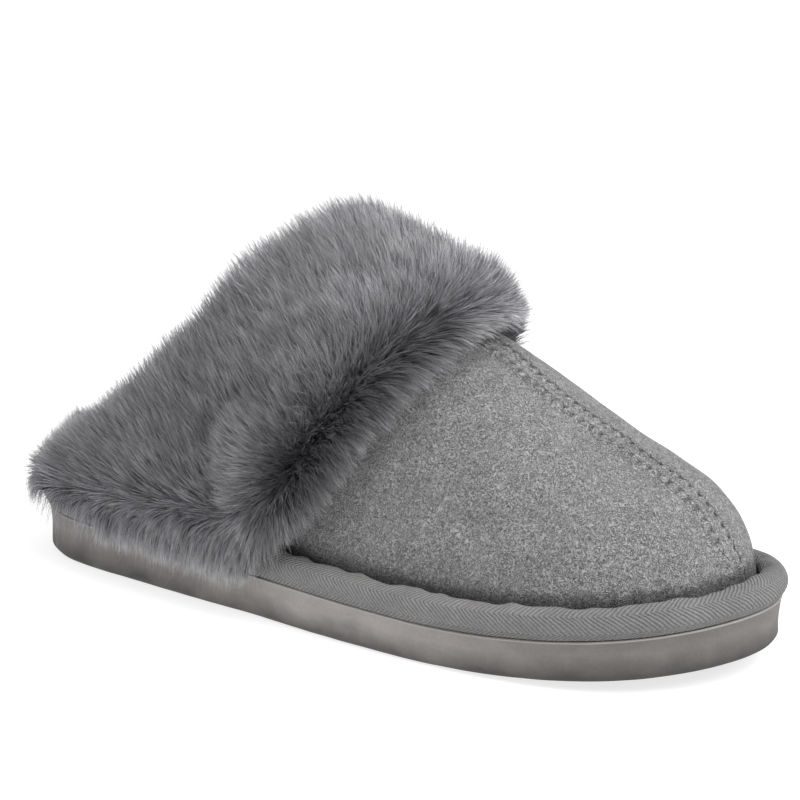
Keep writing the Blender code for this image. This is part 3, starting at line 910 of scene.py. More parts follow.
def seam_relief(along, across):
    """Height of the seam over the suede, a band between two puckered rows of stitches, and its painted shade:
    darker in the rows and stitch holes, with painted highlights on the puckers.
    """
    phase = 2 * math.pi * along / STITCH_PITCH
    off_row = across - STITCH_ROW
    row = bell(off_row, ROW_WIDTH)
    hole = 0.5 + 0.5 * np.cos(phase)
    puff = (0.5 - 0.5 * np.cos(phase)) ** 0.7
    height = (
        SEAM_RISE * smooth_share((SEAM_HALF_WIDTH + SEAM_STEP - across) / SEAM_STEP)
        - (ROW_DEPTH + HOLE_DEPTH * hole**3) * row
        + sum(rise * puff * bell(off_row - place, width) for place, width, rise in SEAM_PUFFS)
        - 0.00012 * bell(across, 0.0005)
    )
    # Painted shade in the rows and stitch holes, less a painted highlight on the puckers
    dark = 0.16 * row + 0.52 * hole**2 * bell(off_row - 0.0003, 0.0007)
    light = bell(off_row - 0.00125, 0.00050) + 0.7 * bell(off_row + 0.00105, 0.0004)
    return height, dark - 0.42 * puff * light


def vamp_relief(points):
    """Undulation of the suede, its listed creases and the gathers at the toe."""
    x, y = points[..., 0], points[..., 1]
    relief = 0.00030 * swell(points, 0.034, 21) + 0.00012 * swell(points, 0.013, 22)
    for place, across, length, breadth, turn, height in CREASES:
        cx = THROAT + place * (OUTER.toe - THROAT)
        cy = across * np.interp(cx, OUTER.lateral[:, 0], -OUTER.lateral[:, 1])
        a = math.radians(turn)
        u = (x - cx) * math.cos(a) + (y - cy) * math.sin(a)
        v = (y - cy) * math.cos(a) - (x - cx) * math.sin(a)
        relief = relief + height * bell(u, length / 2) * bell(v, breadth)
    # Gathers run up from the tape round the toe
    angle = np.arctan2(y, x - (OUTER.toe - 0.045))
    gather = np.sin(angle * 26 + 2.2 * np.sin(angle * 7)) + 0.5 * np.sin(angle * 43 + 1.0)
    along = (x - THROAT) / (OUTER.toe - THROAT)
    toe = smooth_share((along - 0.62) / 0.25) * bell(points[..., 2] - binding_top(x) - 0.001, 0.0075)
    return relief + 0.00034 * gather * toe


def stations(last, rear, front):
    """Places on a last at shares of the way from heel to throat and from throat to toe."""
    behind = last.heel + (last.throat - last.heel) * rear[:-1]
    return np.concatenate([behind, last.throat + (last.toe - last.throat) * front])


def topline_turn(last, x, side, behind):
    """Quarter-turn share of the upper's top: the topline behind the throat, else the crown."""
    return np.where(behind, last.turn_at_height(x, topline(x), side), 1.0)


def upper_side(side, rear, front):
    """One side of the upper, its outer skin and its inner skin from the top down, and its painted shade and
    highlights as a factor on the suede's colour.
    """
    x, inner_x = stations(OUTER, rear, front), stations(INNER, rear, front)
    behind = np.arange(len(x)) < REAR_STATIONS
    seam_edge = OUTER.turn_at_width(x, CLOSE_ROWS_FROM, side)
    flank = np.linspace(0, 1, FLANK_ROWS, endpoint=False)[:, None] * seam_edge
    close = seam_edge + (1 - seam_edge) * np.linspace(0, 1, SEAM_ROWS)[:, None]
    turns = np.concatenate([flank, close]) * topline_turn(OUTER, x, side, behind)
    x = np.broadcast_to(x, turns.shape)
    points, normals = OUTER.point(x, turns, side), OUTER.normal(x, turns, side)
    along = run_length(np.stack([x[0], OUTER.crown(x[0]) + last_floor(x[0])], 1))
    seam, dark = seam_relief(np.broadcast_to(along, turns.shape), np.abs(points[..., 1]))
    fade = smooth_share((x - THROAT + 0.004) / 0.004) * smooth_share((OUTER.toe - x) / 0.0025)
    ends = smooth_share((OUTER.toe - x) / 0.002) * smooth_share((x - OUTER.heel) / 0.002)
    foot = smooth_share((points[..., 2] - last_floor(x)) / 0.004)
    above = points[..., 2] - binding_top(x)
    # Painted shade and highlights of the seam, and painted shade on the suede just above the tape
    light = (1 - dark * fade) * (1 - FOOT_SHADE * smooth_share(1 - above / FOOT_SHADE_HEIGHT))
    points = points + normals * ((seam * fade + vamp_relief(points) * ends) * foot)[..., None]
    points[-1, ~behind, 1] = 0.0
    inner_turn = np.linspace(0, 1, LINING_ROWS + 1)[:, None] * topline_turn(INNER, inner_x, side, behind)
    inner = INNER.point(np.broadcast_to(inner_x, inner_turn.shape), inner_turn, side)
    return np.concatenate([points, inner[::-1]]), np.concatenate([light, np.ones_like(inner[..., 0])])


def dressed_upper():
    """Hollow upper: suede outside, plush inside, open at the collar and underneath."""
    rear = eased(REAR_STATIONS)
    front = np.linspace(0, 1, FRONT_STATIONS + 1) * 0.55 + 0.45 * eased(FRONT_STATIONS)
    outer_rows = FLANK_ROWS + SEAM_ROWS
    points, faces, kinds, lights = [], [], [], []
    for side in (-1, 1):
        grid, light = upper_side(side, rear, front)
        rows, columns = grid.shape[:2]
        quads = grid_faces(rows, columns)
        row, place = np.divmod(quads[:, 0], columns)
        # In front of the throat both sides meet on the crown, so there is no rim there
        keep = ~((row == outer_rows - 1) & (place >= REAR_STATIONS))
        first = np.arange(columns)
        last = first + (rows - 1) * columns
        foot = np.stack([last[:-1], last[1:], first[1:], first[:-1]], 1)
        quads = np.concatenate([quads[keep], foot])
        faces.append((quads if side < 0 else quads[:, ::-1]) + sum(map(len, points)))
        kinds.append(np.concatenate([row[keep] >= outer_rows, np.zeros(len(foot), bool)]))
        points.append(grid.reshape(-1, 3))
        lights.append(light.ravel())
    lining = grained_finish(
        "lining_plush", 0.95, 0.15, LINING, (0.0014, 3.0, 0.65, 0.8), (0.7, 1.25), 0.0006, clouds=True
    )
    finishes = [suede_finish(), lining]
    made = shape("suede_upper", placed(np.concatenate(points)), np.concatenate(faces), finishes)
    made.data.polygons.foreach_set("material_index", np.concatenate(kinds).astype(np.int32))
    # The painted shade and highlights go to the suede as a point attribute
    layer = made.data.attributes.new("painted_shade_and_highlight", "FLOAT", "POINT")
    layer.data.foreach_set("value", np.concatenate(lights).astype(np.float32))
    welded(made, 4e-6)
    made.data.set_sharp_from_angle(angle=math.radians(70))
    return belongs(made, "suede", "upper")


def seam_stitches():
    """Two rows of sunk stitches on the seam, as one mesh."""
    sides, rings = 8, 9
    x = np.linspace(OUTER.throat, OUTER.toe - 0.001, 1600)
    behind = OUTER.heel + (OUTER.throat - OUTER.heel) * eased(REAR_STATIONS)
    start = run_length(np.stack([behind, OUTER.crown(behind) + last_floor(behind)], 1))[-1]
    along = start + run_length(OUTER.point(x, np.ones_like(x), -1) * (1, 0, 1))
    numbers = np.arange(math.ceil(along[0] / STITCH_PITCH), math.floor(along[-1] / STITCH_PITCH))
    span = np.linspace(-1, 1, rings)
    thick = STITCH_RADIUS * np.sqrt(np.clip(1 - span**6, 0.05, 1))
    lift = SEAM_RISE - STITCH_SINK + STITCH_ARCH * (1 - span**2)
    a = np.arange(sides)[:, None] / sides * 2 * math.pi
    points, faces = [], []
    for side in (-1, 1):
        for middle in (numbers + 0.5) * STITCH_PITCH:
            at = np.interp(span / 2 * STITCH_LENGTH + middle, along, x)
            turn = OUTER.turn_at_width(at, STITCH_ROW, side)
            normal = OUTER.normal(at, turn, side)
            core = OUTER.point(at, turn, side) + normal * lift[:, None]
            run = unit(np.gradient(core, axis=0))
            aside = unit(np.cross(run, normal))
            upright = np.cross(aside, run)
            skin = np.cos(a) * aside[:, None] + np.sin(a) * upright[:, None]
            faces.append(grid_faces(rings, sides, around=True) + len(points) * rings * sides)
            points.append((core[:, None] + thick[:, None, None] * skin).reshape(-1, 3))
    thread = grained_finish("seam_thread", 0.7, 0.3, THREAD, (0.0003, 1.0), (0.8, 1.15), 0.00005)
    made = shape("seam_stitches", placed(np.concatenate(points)), np.concatenate(faces), thread)
    return belongs(made, "suede")


# Insole

INSOLE_DISHES = ((0.045, 0.020, 1.0), (0.178, 0.026, 0.8))  # place, breadth and share of the depth
INSOLE_DISH = 0.0011


def dressed_insole():
    """Footbed with an eased edge, slightly dished under the heel and the ball."""
    count = 360
    edge = UPPER_INSET + UPPER_WALL + CURVED_GAP
    flat = ring(edge, count)
    rows = [np.column_stack([flat, last_floor(flat[:, 0])])]
    for a in np.radians(np.linspace(0, 90, 6)):
        flat = ring(edge + INSOLE_EDGE_RADIUS * (1 - math.cos(a)), count)
        drop = INSOLE_EDGE_RADIUS * (1 - math.sin(a))
        rows.append(np.column_stack([flat, last_floor(flat[:, 0]) + INSOLE_THICKNESS - drop]))
    side = np.stack(rows)
    top, share = spanned(side[-1], 24)
    dish = sum(depth * bell(top[..., 0] - place, breadth) for place, breadth, depth in INSOLE_DISHES)
    middle = 1 - (2 * share - 1) ** 2
    top[..., 2] += -INSOLE_DISH * dish * middle + 0.0002 * swell(top, 0.018, 31) * middle
    under, _ = spanned(side[0], 1)
    points, faces = joined((side, True, False), (top, False, False), (under, False, True))
    plush = grained_finish("footbed_plush", 0.95, 0.15, FOOTBED, (0.0016, 3.0, 0.65, 0.8), (0.6, 1.3), 0.0009)
    made = welded(shape("plush_footbed", placed(points), faces, plush))
    belongs(made, "plush", "insole")
    return made


# Fur

STRANDS_TO_LOCK = 170
STRANDS_TO_WISP = 24
STRAY_SHARE = 0.20
STRAY_REACH = 0.0017
# How far the combing varies, and the least, usual and greatest length
STRAND_GROWTH = (0.24, (0.70, 0.98, 1.24))
LOCK_GROWTH = (0.16, (0.88, 1.00, 1.10))
WISP_GROWTH = (0.26, (0.66, 1.00, 1.12))
# How far a lock draws its wisps and a wisp its strands, at the bend and at the tip
LOCK_PULL = (0.20, 0.42)
WISP_PULL = (0.35, 0.80)
# Darkest and palest tone of each
LOCK_TONES = (0.72, 1.24)
WISP_TONES = (0.86, 1.16)
STRAND_TONES = (0.75, 1.28)
# Painted light on the front of the coat, by side: where it begins and how much paler it paints
FRONT_PAINTED_LIGHT = {-1: (0.90, 0.38), 1: (0.74, 0.62)}  # by side: where it begins, how much paler
# Painted shade on the crest and at the parting, and painted light towards the topline
CREST_SHADE = 0.60
PARTING_SHADE = 0.50
RIM_PAINTED_LIGHT = 0.12
# Painted light on the strands inside the upper
INSIDE_PAINTED_LIGHT = 1.25
TUFT_LENGTH = 0.14  # how much longer the front tuft is
TUFT_SWEEP = 0.55
PARTING_TRIM = 0.22  # how much shorter the coat is where it parts
FRINGE_BAND = 0.16  # share of the wall whose strands hang over the tape
FRINGE_REACH = (0.0008, 0.0036, 0.0030)  # past the tape: least, at random, towards the band's upper end
FRINGE_FALL = (0.0110, 0.0034, -0.0060)  # the same for how far the tips hang down
FRINGE_LIFT = 0.0022
FRINGE_SCATTER = 0.0009
UNDERCOAT_DEPTH = 0.46  # share of the strands' length
RIM_SHARE = 0.50  # share of the inner strands that grow on the topline
PILE_COUNT = 16000
PILE_LENGTHS = (0.0040, 0.0062)
PILE_WIDTH = 1.3  # as a share of STRAND_WIDTH
PILE_SINK = 0.0012  # how deep its roots lie in the footbed
PILE_INSET = 0.0015


def collar_lower_edge(x):
    """Height of the collar's lower and front edge, seen from the side."""
    foot = binding_top(x) + CURVED_GAP
    share = np.clip((x - COLLAR_CORNER) / (COLLAR_FRONT - COLLAR_CORNER), 0, 1)
    return foot + (crown_height(COLLAR_FRONT) - foot) * share


def collar_inner_edge(x):
    """Height of the fur's edge inside the upper, seen from the side."""
    foot = last_floor(x) + INSOLE_THICKNESS + CURVED_GAP
    front = THROAT + INSIDE_FRONT
    share = np.clip((x - INSIDE_CORNER) / (front - INSIDE_CORNER), 0, 1)
    return foot + (crown_height(front) - UPPER_WALL - foot) * share


def edge_curve(last, height, end, side, samples=300):
    """A curve on the last from the heel to x = end on the crown: shares of its length, x and turn."""
    x = last.heel + (end - last.heel) * eased(samples)
    turns = last.turn_at_height(x, height(x), side)
    turns[-1] = 1.0
    along = run_length(last.point(x, turns, side))
    return along / along[-1], x, turns


def hats(nodes, values, at):
    """Reads values, one array for each node, at a place between the nodes of its own for each entry."""
    corner = np.eye(len(nodes))
    return sum(np.interp(at, nodes, corner[k]) * values[k] for k in range(len(nodes)))


def columns_at(table, share):
    return [monotone(column(table, 0), column(table, k), share) for k in range(1, len(table[0]))]


def fur_parting(share, across):
    """Where the coat parts: behind the front tuft and along its top."""
    behind = bell(share - 0.560 - 0.10 * (across - 0.30), 0.016) * smooth_share((across - 0.14) / 0.08)
    behind = behind * smooth_share((0.62 - across) / 0.12)
    above = bell(across - 0.50 + 0.5 * (share - 0.60), 0.040) * smooth_share((share - 0.56) / 0.04)
    return np.clip(behind + 0.8 * above * smooth_share((0.80 - share) / 0.12), 0, 1)


def front_tuft(share, across):
    """The thick tuft at the lower front corner, combed back over the parting."""
    return bell(share - 0.625, 0.050) * bell(across - 0.24, 0.13)


class Collar:
    """Where the fur grows on one side of the shoe."""

    def __init__(self, side):
        self.side = side
        self.low = edge_curve(OUTER, collar_lower_edge, COLLAR_FRONT, side)
        self.top = edge_curve(OUTER, topline, OUTER.throat, side)
        self.inner_top = edge_curve(INNER, topline, INNER.throat, side)
        self.inner_low = edge_curve(INNER, collar_inner_edge, INNER.throat + INSIDE_FRONT, side)

    def between(self, last, first, second, share, across):
        a = [np.interp(share, first[0], first[k]) for k in (1, 2)]
        b = [np.interp(share, second[0], second[k]) for k in (1, 2)]
        x, turn = (a[k] + (b[k] - a[k]) * across for k in (0, 1))
        return last.point(x, turn, self.side), last.normal(x, turn, self.side)

    def climb(self, share):
        low, _ = self.between(OUTER, self.low, self.top, share, np.zeros_like(share))
        top, _ = self.between(OUTER, self.low, self.top, share, np.ones_like(share))
        return unit(top - low + UP * 1e-6)

    def lift_far_front(self, share, across, lean, length):
        """On the medial side the fur's front edge stands up and is shorter at its foot."""
        front = smooth_share((share - 0.72) / 0.12) * smooth_share((1 - share) / 0.10)
        lean = lean * (1 - MEDIAL_LIFT * front * (lean < 0))
        low = smooth_share((share - 0.70) / 0.12) * smooth_share((0.13 - across) / 0.08)
        return lean, length * (1 - MEDIAL_TRIM * low * smooth_share((1 - share) / 0.06))

    def on_wall(self, share, across):
        """Roots, outward normals, combing and lengths on the outside of the wall."""
        root, normal = self.between(OUTER, self.low, self.top, share, across)
        root = root + normal * (CURVED_GAP + SEAM_RISE * (np.abs(root[:, 1:2]) < 4 * SEAM_HALF_WIDTH))
        edge, wall, rim, _ = (FUR_DEPTH * v for v in columns_at(FUR_LENGTHS, share))
        tuft = front_tuft(share, across)
        length = hats((0, 0.2, 0.8, 1), (edge, wall, wall, rim), across)
        length = length * (1 + TUFT_LENGTH * tuft - PARTING_TRIM * fur_parting(share, across))
        lean = hats(COMB_ROWS, columns_at(FUR_COMB, share), across)
        if self.side > 0:
            lean, length = self.lift_far_front(share, across, lean, length)
        sweep = hats(COMB_ROWS, columns_at(FUR_SWEEP, share), across) + TUFT_SWEEP * tuft
        climb = self.climb(share)
        ahead = unit(np.cross(climb, normal) * -self.side)
        return root, normal, climb * lean[:, None] - ahead * sweep[:, None], length

    def over_rim(self, share, across):
        """The same on the topline, from its outer to its inner edge, fanned from one face to the other."""
        outer, out, comb_out, rim = self.on_wall(share, np.ones_like(share))
        inner, inward, comb_in, _ = self.in_lining(share, np.zeros_like(share))
        lift = self.climb(share) * 2 * CURVED_GAP
        across = across[:, None]
        root = outer + (inner - outer) * across + lift
        back = np.array([-1.0, 0.0, 0.25]) * share[:, None]
        normal = unit(out * (1 - across) ** 2 + UP * 2.4 * across * (1 - across) + inward * across**2)
        comb = comb_out * (1 - across) + comb_in * across + back * 1.2 * across * (1 - across)
        return root, normal, comb, rim * (1 - 0.25 * across[:, 0])

    def in_lining(self, share, down):
        """The same on the inside of the wall, from the topline to the lower edge."""
        root, normal = self.between(INNER, self.inner_top, self.inner_low, share, down)
        _, _, rim, lining = (FUR_DEPTH * v for v in columns_at(FUR_LENGTHS, share))
        length = lining + (0.75 * rim - lining) * smooth_share(1 - down / 0.35)
        comb = UP * (0.9 * smooth_share(1 - down / 0.4) - 0.1 * down)[:, None]
        comb = comb + np.array([-1.0, 0, 0]) * (0.7 * share * (1 - 0.4 * down))[:, None]
        return root - normal * LINING_GAP, -normal, comb, length


COLLARS = {side: Collar(side) for side in (-1, 1)}


def scatter(place, count, rng, weight):
    """Shares of roots spread evenly over an area of the collar."""
    cells_s, cells_v = 240, 60
    s = (np.arange(cells_s) + 0.5) / cells_s
    v = (np.arange(cells_v) + 0.5) / cells_v
    gs, gv = (g.ravel() for g in np.meshgrid(s, v, indexing="ij"))
    ds = place(np.clip(gs + 0.002, 0, 1), gv)[0] - place(np.clip(gs - 0.002, 0, 1), gv)[0]
    dv = place(gs, np.clip(gv + 0.004, 0, 1))[0] - place(gs, np.clip(gv - 0.004, 0, 1))[0]
    area = np.linalg.norm(np.cross(ds, dv), axis=1)
    if weight is not None:
        area = area * weight(gs, gv)
    cells = np.searchsorted(np.cumsum(area) / area.sum(), rng.random(count))
    share = gs[cells] + (rng.random(count) - 0.5) / cells_s
    across = gv[cells] + (rng.random(count) - 0.5) / cells_v
    return np.clip(share, 0, 1), np.clip(across, 0, 1)


def strand_controls(root, normal, comb, length, droop, rng, spread):
    """Three control points of each strand: root, bend and tip."""
    comb = comb + rng.normal(size=(len(root), 3)) * spread
    length = length[:, None]
    bend = root + unit(normal + 0.25 * comb) * length * 0.5
    tip = root + unit(normal + comb) * length - UP * droop[:, None]
    return np.stack([root, bend, tip], 1)


def gather_to(controls, guides, pull_bend, pull_tip, firmness=1.0):
    """Draws each strand towards the nearest guide, more at the tip than at the bend."""
    firmness = np.broadcast_to(firmness, len(controls))[:, None]
    tree = KDTree(len(guides))
    for k, point in enumerate(guides[:, 0]):
        tree.insert(point, k)
    tree.balance()
    nearest = np.array([tree.find(point)[1] for point in controls[:, 0]])
    drawn = controls.copy()
    for k, pull in ((1, pull_bend), (2, pull_tip)):
        drawn[:, k] += (guides[nearest, k] - controls[:, k]) * pull * firmness
    return drawn, nearest


def hang_over_tape(controls, share, across, normal, rng):
    """Strands at the foot of the wall reach out past the tape and hang down over it."""
    hung = np.interp(share, (0, DROOP_END, DROOP_GONE, 1), (1, 1, 0, 0))
    up = (across / FRINGE_BAND)[:, None]
    amount = hung[:, None] * smooth_share(1.35 - up)
    out = unit(normal * (1, 1, 0))
    root = controls[:, 0]
    least, loose, rise = FRINGE_REACH
    past = UPPER_INSET + BINDING_BULGE + FUR_DRAPE + least
    reach = past + loose * rng.random(len(root))[:, None] + rise * up
    least, loose, rise = FRINGE_FALL
    fall = least + loose * rng.random(len(root))[:, None] + rise * up
    bend = root + out * reach * 1.02 + UP * FRINGE_LIFT
    tip = root + out * reach - UP * fall
    tip = tip + rng.normal(size=tip.shape) * FRINGE_SCATTER
    laid = controls.copy()
    laid[:, 1] += (bend - controls[:, 1]) * amount
    laid[:, 2] += (tip - controls[:, 2]) * amount
    return laid


def curve_at(controls, t):
    """Points and directions on the strands at the share t."""
    a, b, c = controls[:, 0], controls[:, 1], controls[:, 2]
    point = a * (1 - t) ** 2 + b * 2 * t * (1 - t) + c * t * t
    way = unit((b - a) * 2 * (1 - t) + (c - b) * 2 * t)
    return point, way


def strand_mesh(name, controls, outward, width, tone, finish, rng, centre):
    """Tapered ribbons along the strands, with normals that follow the coat and not the ribbon."""
    count = len(controls)
    twist = rng.uniform(-1.25, 1.25, count)[:, None]
    points, normals, along = [], [], []
    for t, share in STRAND_STATIONS:
        at, way = curve_at(controls, t)
        facing = unit(outward - way * np.sum(outward * way, 1, keepdims=True))
        ribbon = np.cross(way, facing) * np.cos(twist) + facing * np.sin(twist)
        away = unit(at - curve_at(centre, t)[0])
        lit = facing + 0.35 * way + 0.55 * away * min(1.0, 2 * t)
        edges = (-1, 1) if share > 0 else (0,)
        for edge in edges:
            points.append(at + ribbon * (edge * width * share / 2)[:, None])
            normals.append(unit(lit + 0.45 * edge * ribbon))
            along.append(np.full(count, t))
    per = len(points)
    first = np.arange(count)[:, None] * per
    ladder = range((per - 1) // 2 - 1)
    quads = np.concatenate([first + np.array([[2 * k, 2 * k + 1, 2 * k + 3, 2 * k + 2]]) for k in ladder])
    tips = first + np.array([[per - 3, per - 2, per - 1]])
    made = shape(name, placed(np.stack(points, 1).reshape(-1, 3)), [quads, tips], finish)
    mesh = made.data
    for key, values in (("along", np.stack(along, 1).ravel()), ("tone", np.repeat(tone, per))):
        mesh.attributes.new(key, "FLOAT", "POINT").data.foreach_set("value", values.astype(np.float32))
    mesh.normals_split_custom_set_from_vertices(np.stack(normals, 1).reshape(-1, 3).astype(np.float32))
    return made


def grown(collar, places, spread, stretch, rng):
    """Strands that grow at several places of the collar, with the fringe over the tape laid down."""
    parts = []
    for place, count, weight, droop in places:
        share, across = scatter(place, count, rng, weight)
        kind = np.full(count, droop), np.full(count, place == collar.on_wall)
        parts.append((share, across, *place(share, across), *kind))
    share, across, root, normal, comb, length, droop, wall = (np.concatenate(part) for part in zip(*parts))
    length = length * rng.triangular(*stretch, len(length))
    controls = strand_controls(root, normal, comb, length, droop * length, rng, spread)
    laid = hang_over_tape(controls, share, across, normal, rng)
    return np.where(wall[:, None, None], laid, controls), normal, share, across


def wall_tone(side, share, across):
    """Where the coat on the wall is darker or paler: painted shade on the crest and at the parting, painted
    light at the top and on the front that faces the toe.
    """
    fore = smooth_share((share - 0.60) / 0.10) * smooth_share((1 - share) / 0.08)
    crest = bell(across - 0.055, 0.035) * fore * (side < 0)
    begins, gain = FRONT_PAINTED_LIGHT[side]
    front = smooth_share((share - begins) / 0.10) * smooth_share((0.5 - across) / 0.4)
    parting = fur_parting(share, across)
    tone = (1.22 - 0.20 * across) * (1 - CREST_SHADE * crest) * (1 - PARTING_SHADE * parting)
    return tone * (1 + RIM_PAINTED_LIGHT * smooth_share((across - 0.7) / 0.2)) * (1 + gain * front)


def fur_piece(name, sides, make_places, count, seed, fineness, finish):
    """One mesh of strands, gathered into wisps and locks; fine strands stay looser and are paler, partly
    painted light for thin hair that light shines through.
    """
    rng = np.random.default_rng(seed)
    own = count // len(sides)
    every = []
    for side in sides:
        collar = COLLARS[side]
        lock_places = make_places(collar, max(own // STRANDS_TO_LOCK, 40))
        wisp_places = make_places(collar, max(own // STRANDS_TO_WISP, 200))
        strands, normal, share, across = grown(collar, make_places(collar, own), *STRAND_GROWTH, rng)
        locks = grown(collar, lock_places, *LOCK_GROWTH, rng)[0]
        wisps = grown(collar, wisp_places, *WISP_GROWTH, rng)[0]
        stray = rng.random(own) < STRAY_SHARE
        strands[:, 2] += rng.normal(size=(own, 3)) * (STRAY_REACH * stray)[:, None]
        wisps, wisp_lock = gather_to(wisps, locks, *LOCK_PULL)
        on_wall = make_places is wall_places
        looser = 1 - 0.45 * smooth_share((across - 0.62) / 0.2) if on_wall else 0.6
        firmness = rng.random(own) ** 0.7 * looser * fineness
        strands, nearest = gather_to(strands, wisps, *WISP_PULL, firmness * ~stray)
        lock_tone = rng.uniform(*LOCK_TONES, len(locks))[wisp_lock]
        wisp_tone = lock_tone * rng.uniform(*WISP_TONES, len(wisps))
        # Fine strands are partly painted paler for light through thin hair, and strands inside the upper get
        # painted light
        tone = wisp_tone[nearest] * rng.uniform(*STRAND_TONES, own) * (1.35 - 0.35 * fineness)
        tone = tone * (wall_tone(side, share, across) if on_wall else INSIDE_PAINTED_LIGHT)
        every.append((strands, normal, tone, wisps[nearest], 1 - 0.3 * stray))
    strands, normal, tone, centre, fine = (np.concatenate(part) for part in zip(*every))
    width = STRAND_WIDTH * fine * (0.4 + 0.6 * fineness) * rng.uniform(0.7, 1.15, len(strands))
    return belongs(strand_mesh(name, strands, normal, width, tone, finish, rng, centre), "fur")


def wall_places(collar, count):
    """The outside of the wall, with more roots along the edge that has to cover the tape and above it."""
    return [(collar.on_wall, count, lambda s, v: 1 + 2.6 * bell(v, 0.055) + 0.3 * bell(v - 0.12, 0.08), 0.04)]


def inside_places(collar, count):
    """The topline and the inside of the wall."""
    on_rim = int(count * RIM_SHARE)
    return [
        (collar.over_rim, on_rim, None, 0.03),
        (collar.in_lining, count - on_rim, lambda s, v: 1.0 + 1.0 * bell(v, 0.25), 0.02),
    ]


# Pieces of the fur: name, sides, places, strands, seed of the random draws and fineness
FUR_PIECES = (
    ("fur_lateral", (-1,), wall_places, 64000, 61, 1.0),
    ("fur_medial", (1,), wall_places, 60000, 62, 1.0),
    ("fur_inside", (-1, 1), inside_places, 56000, 63, 1.0),
    ("fur_fine_hairs", (-1, 1), wall_places, 24000, 64, 0.2),
)


def undercoat_half(collar):
    """Lines of the undercoat on one side, from the foot of the wall over the rim and back along the roots."""
    share = np.linspace(0, 1, 111)
    ones = np.ones_like(share)
    skin, seat = [], []
    for v in np.linspace(0, 1, 26):
        root, normal, comb, length = collar.on_wall(share, ones * v)
        controls = strand_controls(root, normal, comb, length, 0 * length, np.random.default_rng(1), 0.0)
        controls = hang_over_tape(controls, share, ones * v, normal, np.random.default_rng(2))
        skin.append(curve_at(controls, UNDERCOAT_DEPTH)[0])
        seat.append(root)
    for place, levels, depth in (
        (collar.over_rim, (0.2, 0.5, 0.8), 0.8 * UNDERCOAT_DEPTH),
        (collar.in_lining, np.linspace(0.12, 1, 9), UNDERCOAT_DEPTH),
    ):
        for v in levels:
            root, normal, comb, length = place(share, ones * v)
            skin.append(root + unit(normal + 0.4 * comb) * (length * depth)[:, None])
            seat.append(root)
    return np.stack(skin + seat[::-1])


def undercoat():
    """Dense wool under the strands: a closed solid at about half of the fur's depth, dark as painted shade
    deep in the coat.
    """
    near, far = (undercoat_half(COLLARS[side]) for side in (-1, 1))
    points = np.concatenate([near, far[:, -2:0:-1]], 1)
    rows, columns = points.shape[:2]
    is_skin = (np.arange(rows) < rows // 2)[:, None]
    lumps = swell(points, 0.0055, 41) * 0.0007 * is_skin
    points = points + unit(points - points.mean(0, keepdims=True)) * lumps[..., None]
    first = np.arange(columns)
    last = first + (rows - 1) * columns
    closing = np.stack([last, np.roll(last, -1), np.roll(first, -1), first], 1)
    faces = np.concatenate([grid_faces(rows, columns, around=True), closing])
    wool = grained_finish("fur_roots", 0.95, 0.1, UNDERCOAT, (0.0012, 3.0, 0.7, 1.0), (0.4, 1.5), 0.0012)
    made = welded(shape("fur_undercoat", placed(points.reshape(-1, 3)), faces, wool))
    return belongs(made, "fur", "fur_collar")


def footbed_pile(finish):
    """Short pile on the footbed, closest where the collar leaves it open to view."""
    rng = np.random.default_rng(51)
    count = PILE_COUNT
    edge = UPPER_INSET + UPPER_WALL + CURVED_GAP + PILE_INSET
    lateral, medial = inset_sides(edge)
    x = edge + 0.001 + rng.beta(1.0, 1.35, count) * (SOLE_LENGTH - 2 * edge - 0.006)
    low, high = (np.interp(x, side[:, 0], side[:, 1]) for side in (lateral, medial))
    y = low + (high - low) * rng.random(count)
    inside = np.clip(np.minimum(y - low, high - y) / INSOLE_EDGE_RADIUS, 0, 1)
    drop = INSOLE_EDGE_RADIUS * (1 - np.sqrt(1 - (1 - inside) ** 2))
    root = np.column_stack([x, y, last_floor(x) + INSOLE_THICKNESS - drop - PILE_SINK])
    flow = np.column_stack([swell(root, 0.03, 52), swell(root, 0.03, 53), np.zeros(count)]) * 0.5
    length = rng.uniform(*PILE_LENGTHS, count)
    upright = np.tile(UP, (count, 1))
    controls = strand_controls(root, upright, flow, length, 0.05 * length, rng, 0.30)
    guides = controls[rng.choice(count, count // 16, replace=False)]
    controls, nearest = gather_to(controls, guides, 0.2, 0.5)
    tone = rng.uniform(0.85, 1.15, len(guides))[nearest] * rng.uniform(0.8, 1.2, count)
    width = STRAND_WIDTH * PILE_WIDTH * rng.uniform(0.8, 1.2, count)
    made = strand_mesh("footbed_pile", controls, upright, width, tone, finish, rng, guides[nearest])
    return belongs(made, "plush")


# Studio

CAMERA_PLACE = (0.4755, -0.6212, 0.2346)
CAMERA_AIM = (0.00432, 0.0, 0.06014)
CAMERA_FOCAL_PIXELS = 2721.46
CAMERA_ROLL = math.radians(-0.08)
PHOTO_WIDTH = 800
SENSOR = 36.0
KEY_TOWARDS = (0.75, 0.10, 0.95)
KEY_STRENGTH = 2.5
KEY_SPREAD = math.radians(50)
FLOOR_HALF = 8.0
FLOOR_SHADE = 0.40
FLOOR_GLOW = 0.72


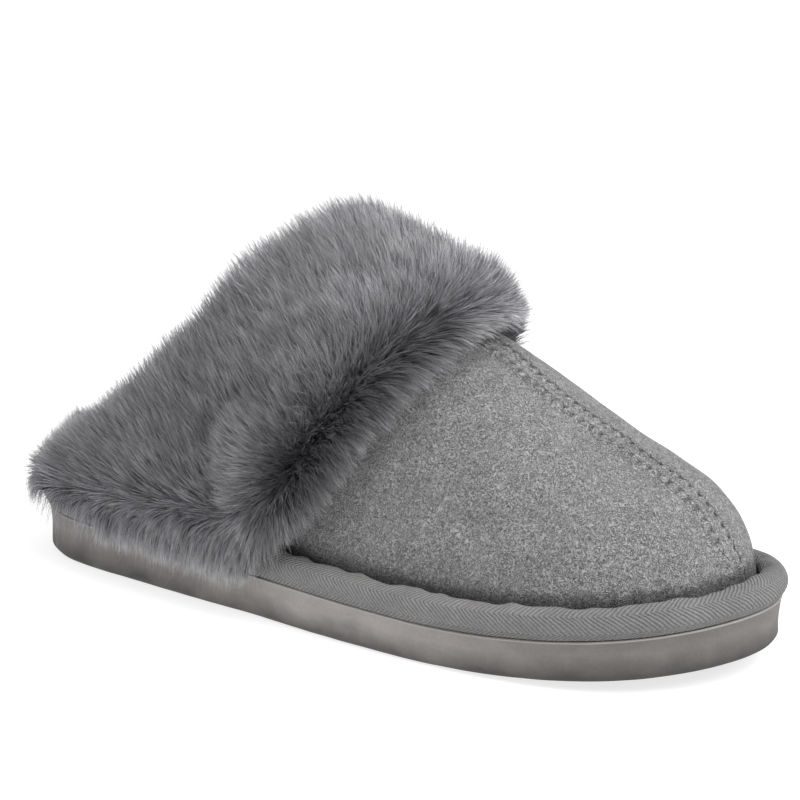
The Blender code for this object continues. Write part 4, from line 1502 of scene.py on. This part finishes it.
def camera():
    data = bpy.data.cameras.new("photo_camera")
    data.sensor_width = SENSOR
    data.lens = CAMERA_FOCAL_PIXELS / PHOTO_WIDTH * SENSOR
    data.clip_start = 0.01
    made = bpy.data.objects.new("photo_camera", data)
    bpy.context.scene.collection.objects.link(made)
    place, aim = Vector(CAMERA_PLACE), Vector(CAMERA_AIM)
    turn = (aim - place).to_track_quat("-Z", "Y").to_matrix().to_4x4()
    made.matrix_world = Matrix.Translation(place) @ turn @ Matrix.Rotation(CAMERA_ROLL, 4, "Z")
    bpy.context.scene.camera = made


def sun():
    """Soft key light from one direction."""
    data = bpy.data.lights.new("key", "SUN")
    data.energy = KEY_STRENGTH
    data.angle = KEY_SPREAD
    made = bpy.data.objects.new("key", data)
    bpy.context.scene.collection.objects.link(made)
    made.rotation_euler = Vector(KEY_TOWARDS).to_track_quat("Z", "Y").to_euler()


def studio():
    """White surroundings and a pale floor that glows a little, so that it stays as white as in the photo."""
    floor = Nodes("pale_floor", 0.9, 0.1)
    grain = floor.vary(floor.noise(0.4, 2.0), 0.995, 1.005)
    floor.colour(floor.shade((FLOOR_SHADE,) * 3, grain))
    floor.shader.inputs["Emission Color"].default_value = (1, 1, 1, 1)
    floor.shader.inputs["Emission Strength"].default_value = FLOOR_GLOW
    corners = np.array([(-1, -1, 0), (1, -1, 0), (1, 1, 0), (-1, 1, 0)]) * FLOOR_HALF
    ground = shape("floor", corners, np.array([[0, 1, 2, 3]]), floor.material, smooth=False)
    world = bpy.data.worlds.new("studio")
    bpy.context.scene.world = world
    world.use_nodes = True
    world.node_tree.nodes["Background"].inputs["Color"].default_value = (1, 1, 1, 1)
    world.node_tree.nodes["Background"].inputs["Strength"].default_value = 1.0
    sun()
    bpy.context.scene.view_settings.view_transform = "Standard"
    bpy.context.scene.view_settings.look = "None"


def main():
    camera()
    studio()
    dressed_outsole()
    dressed_binding()
    dressed_upper()
    seam_stitches()
    dressed_insole()
    undercoat()
    fur = fur_finish("fur_strands")
    for row in FUR_PIECES:
        fur_piece(*row, fur)
    footbed_pile(fur_finish("pile_strands"))


main()
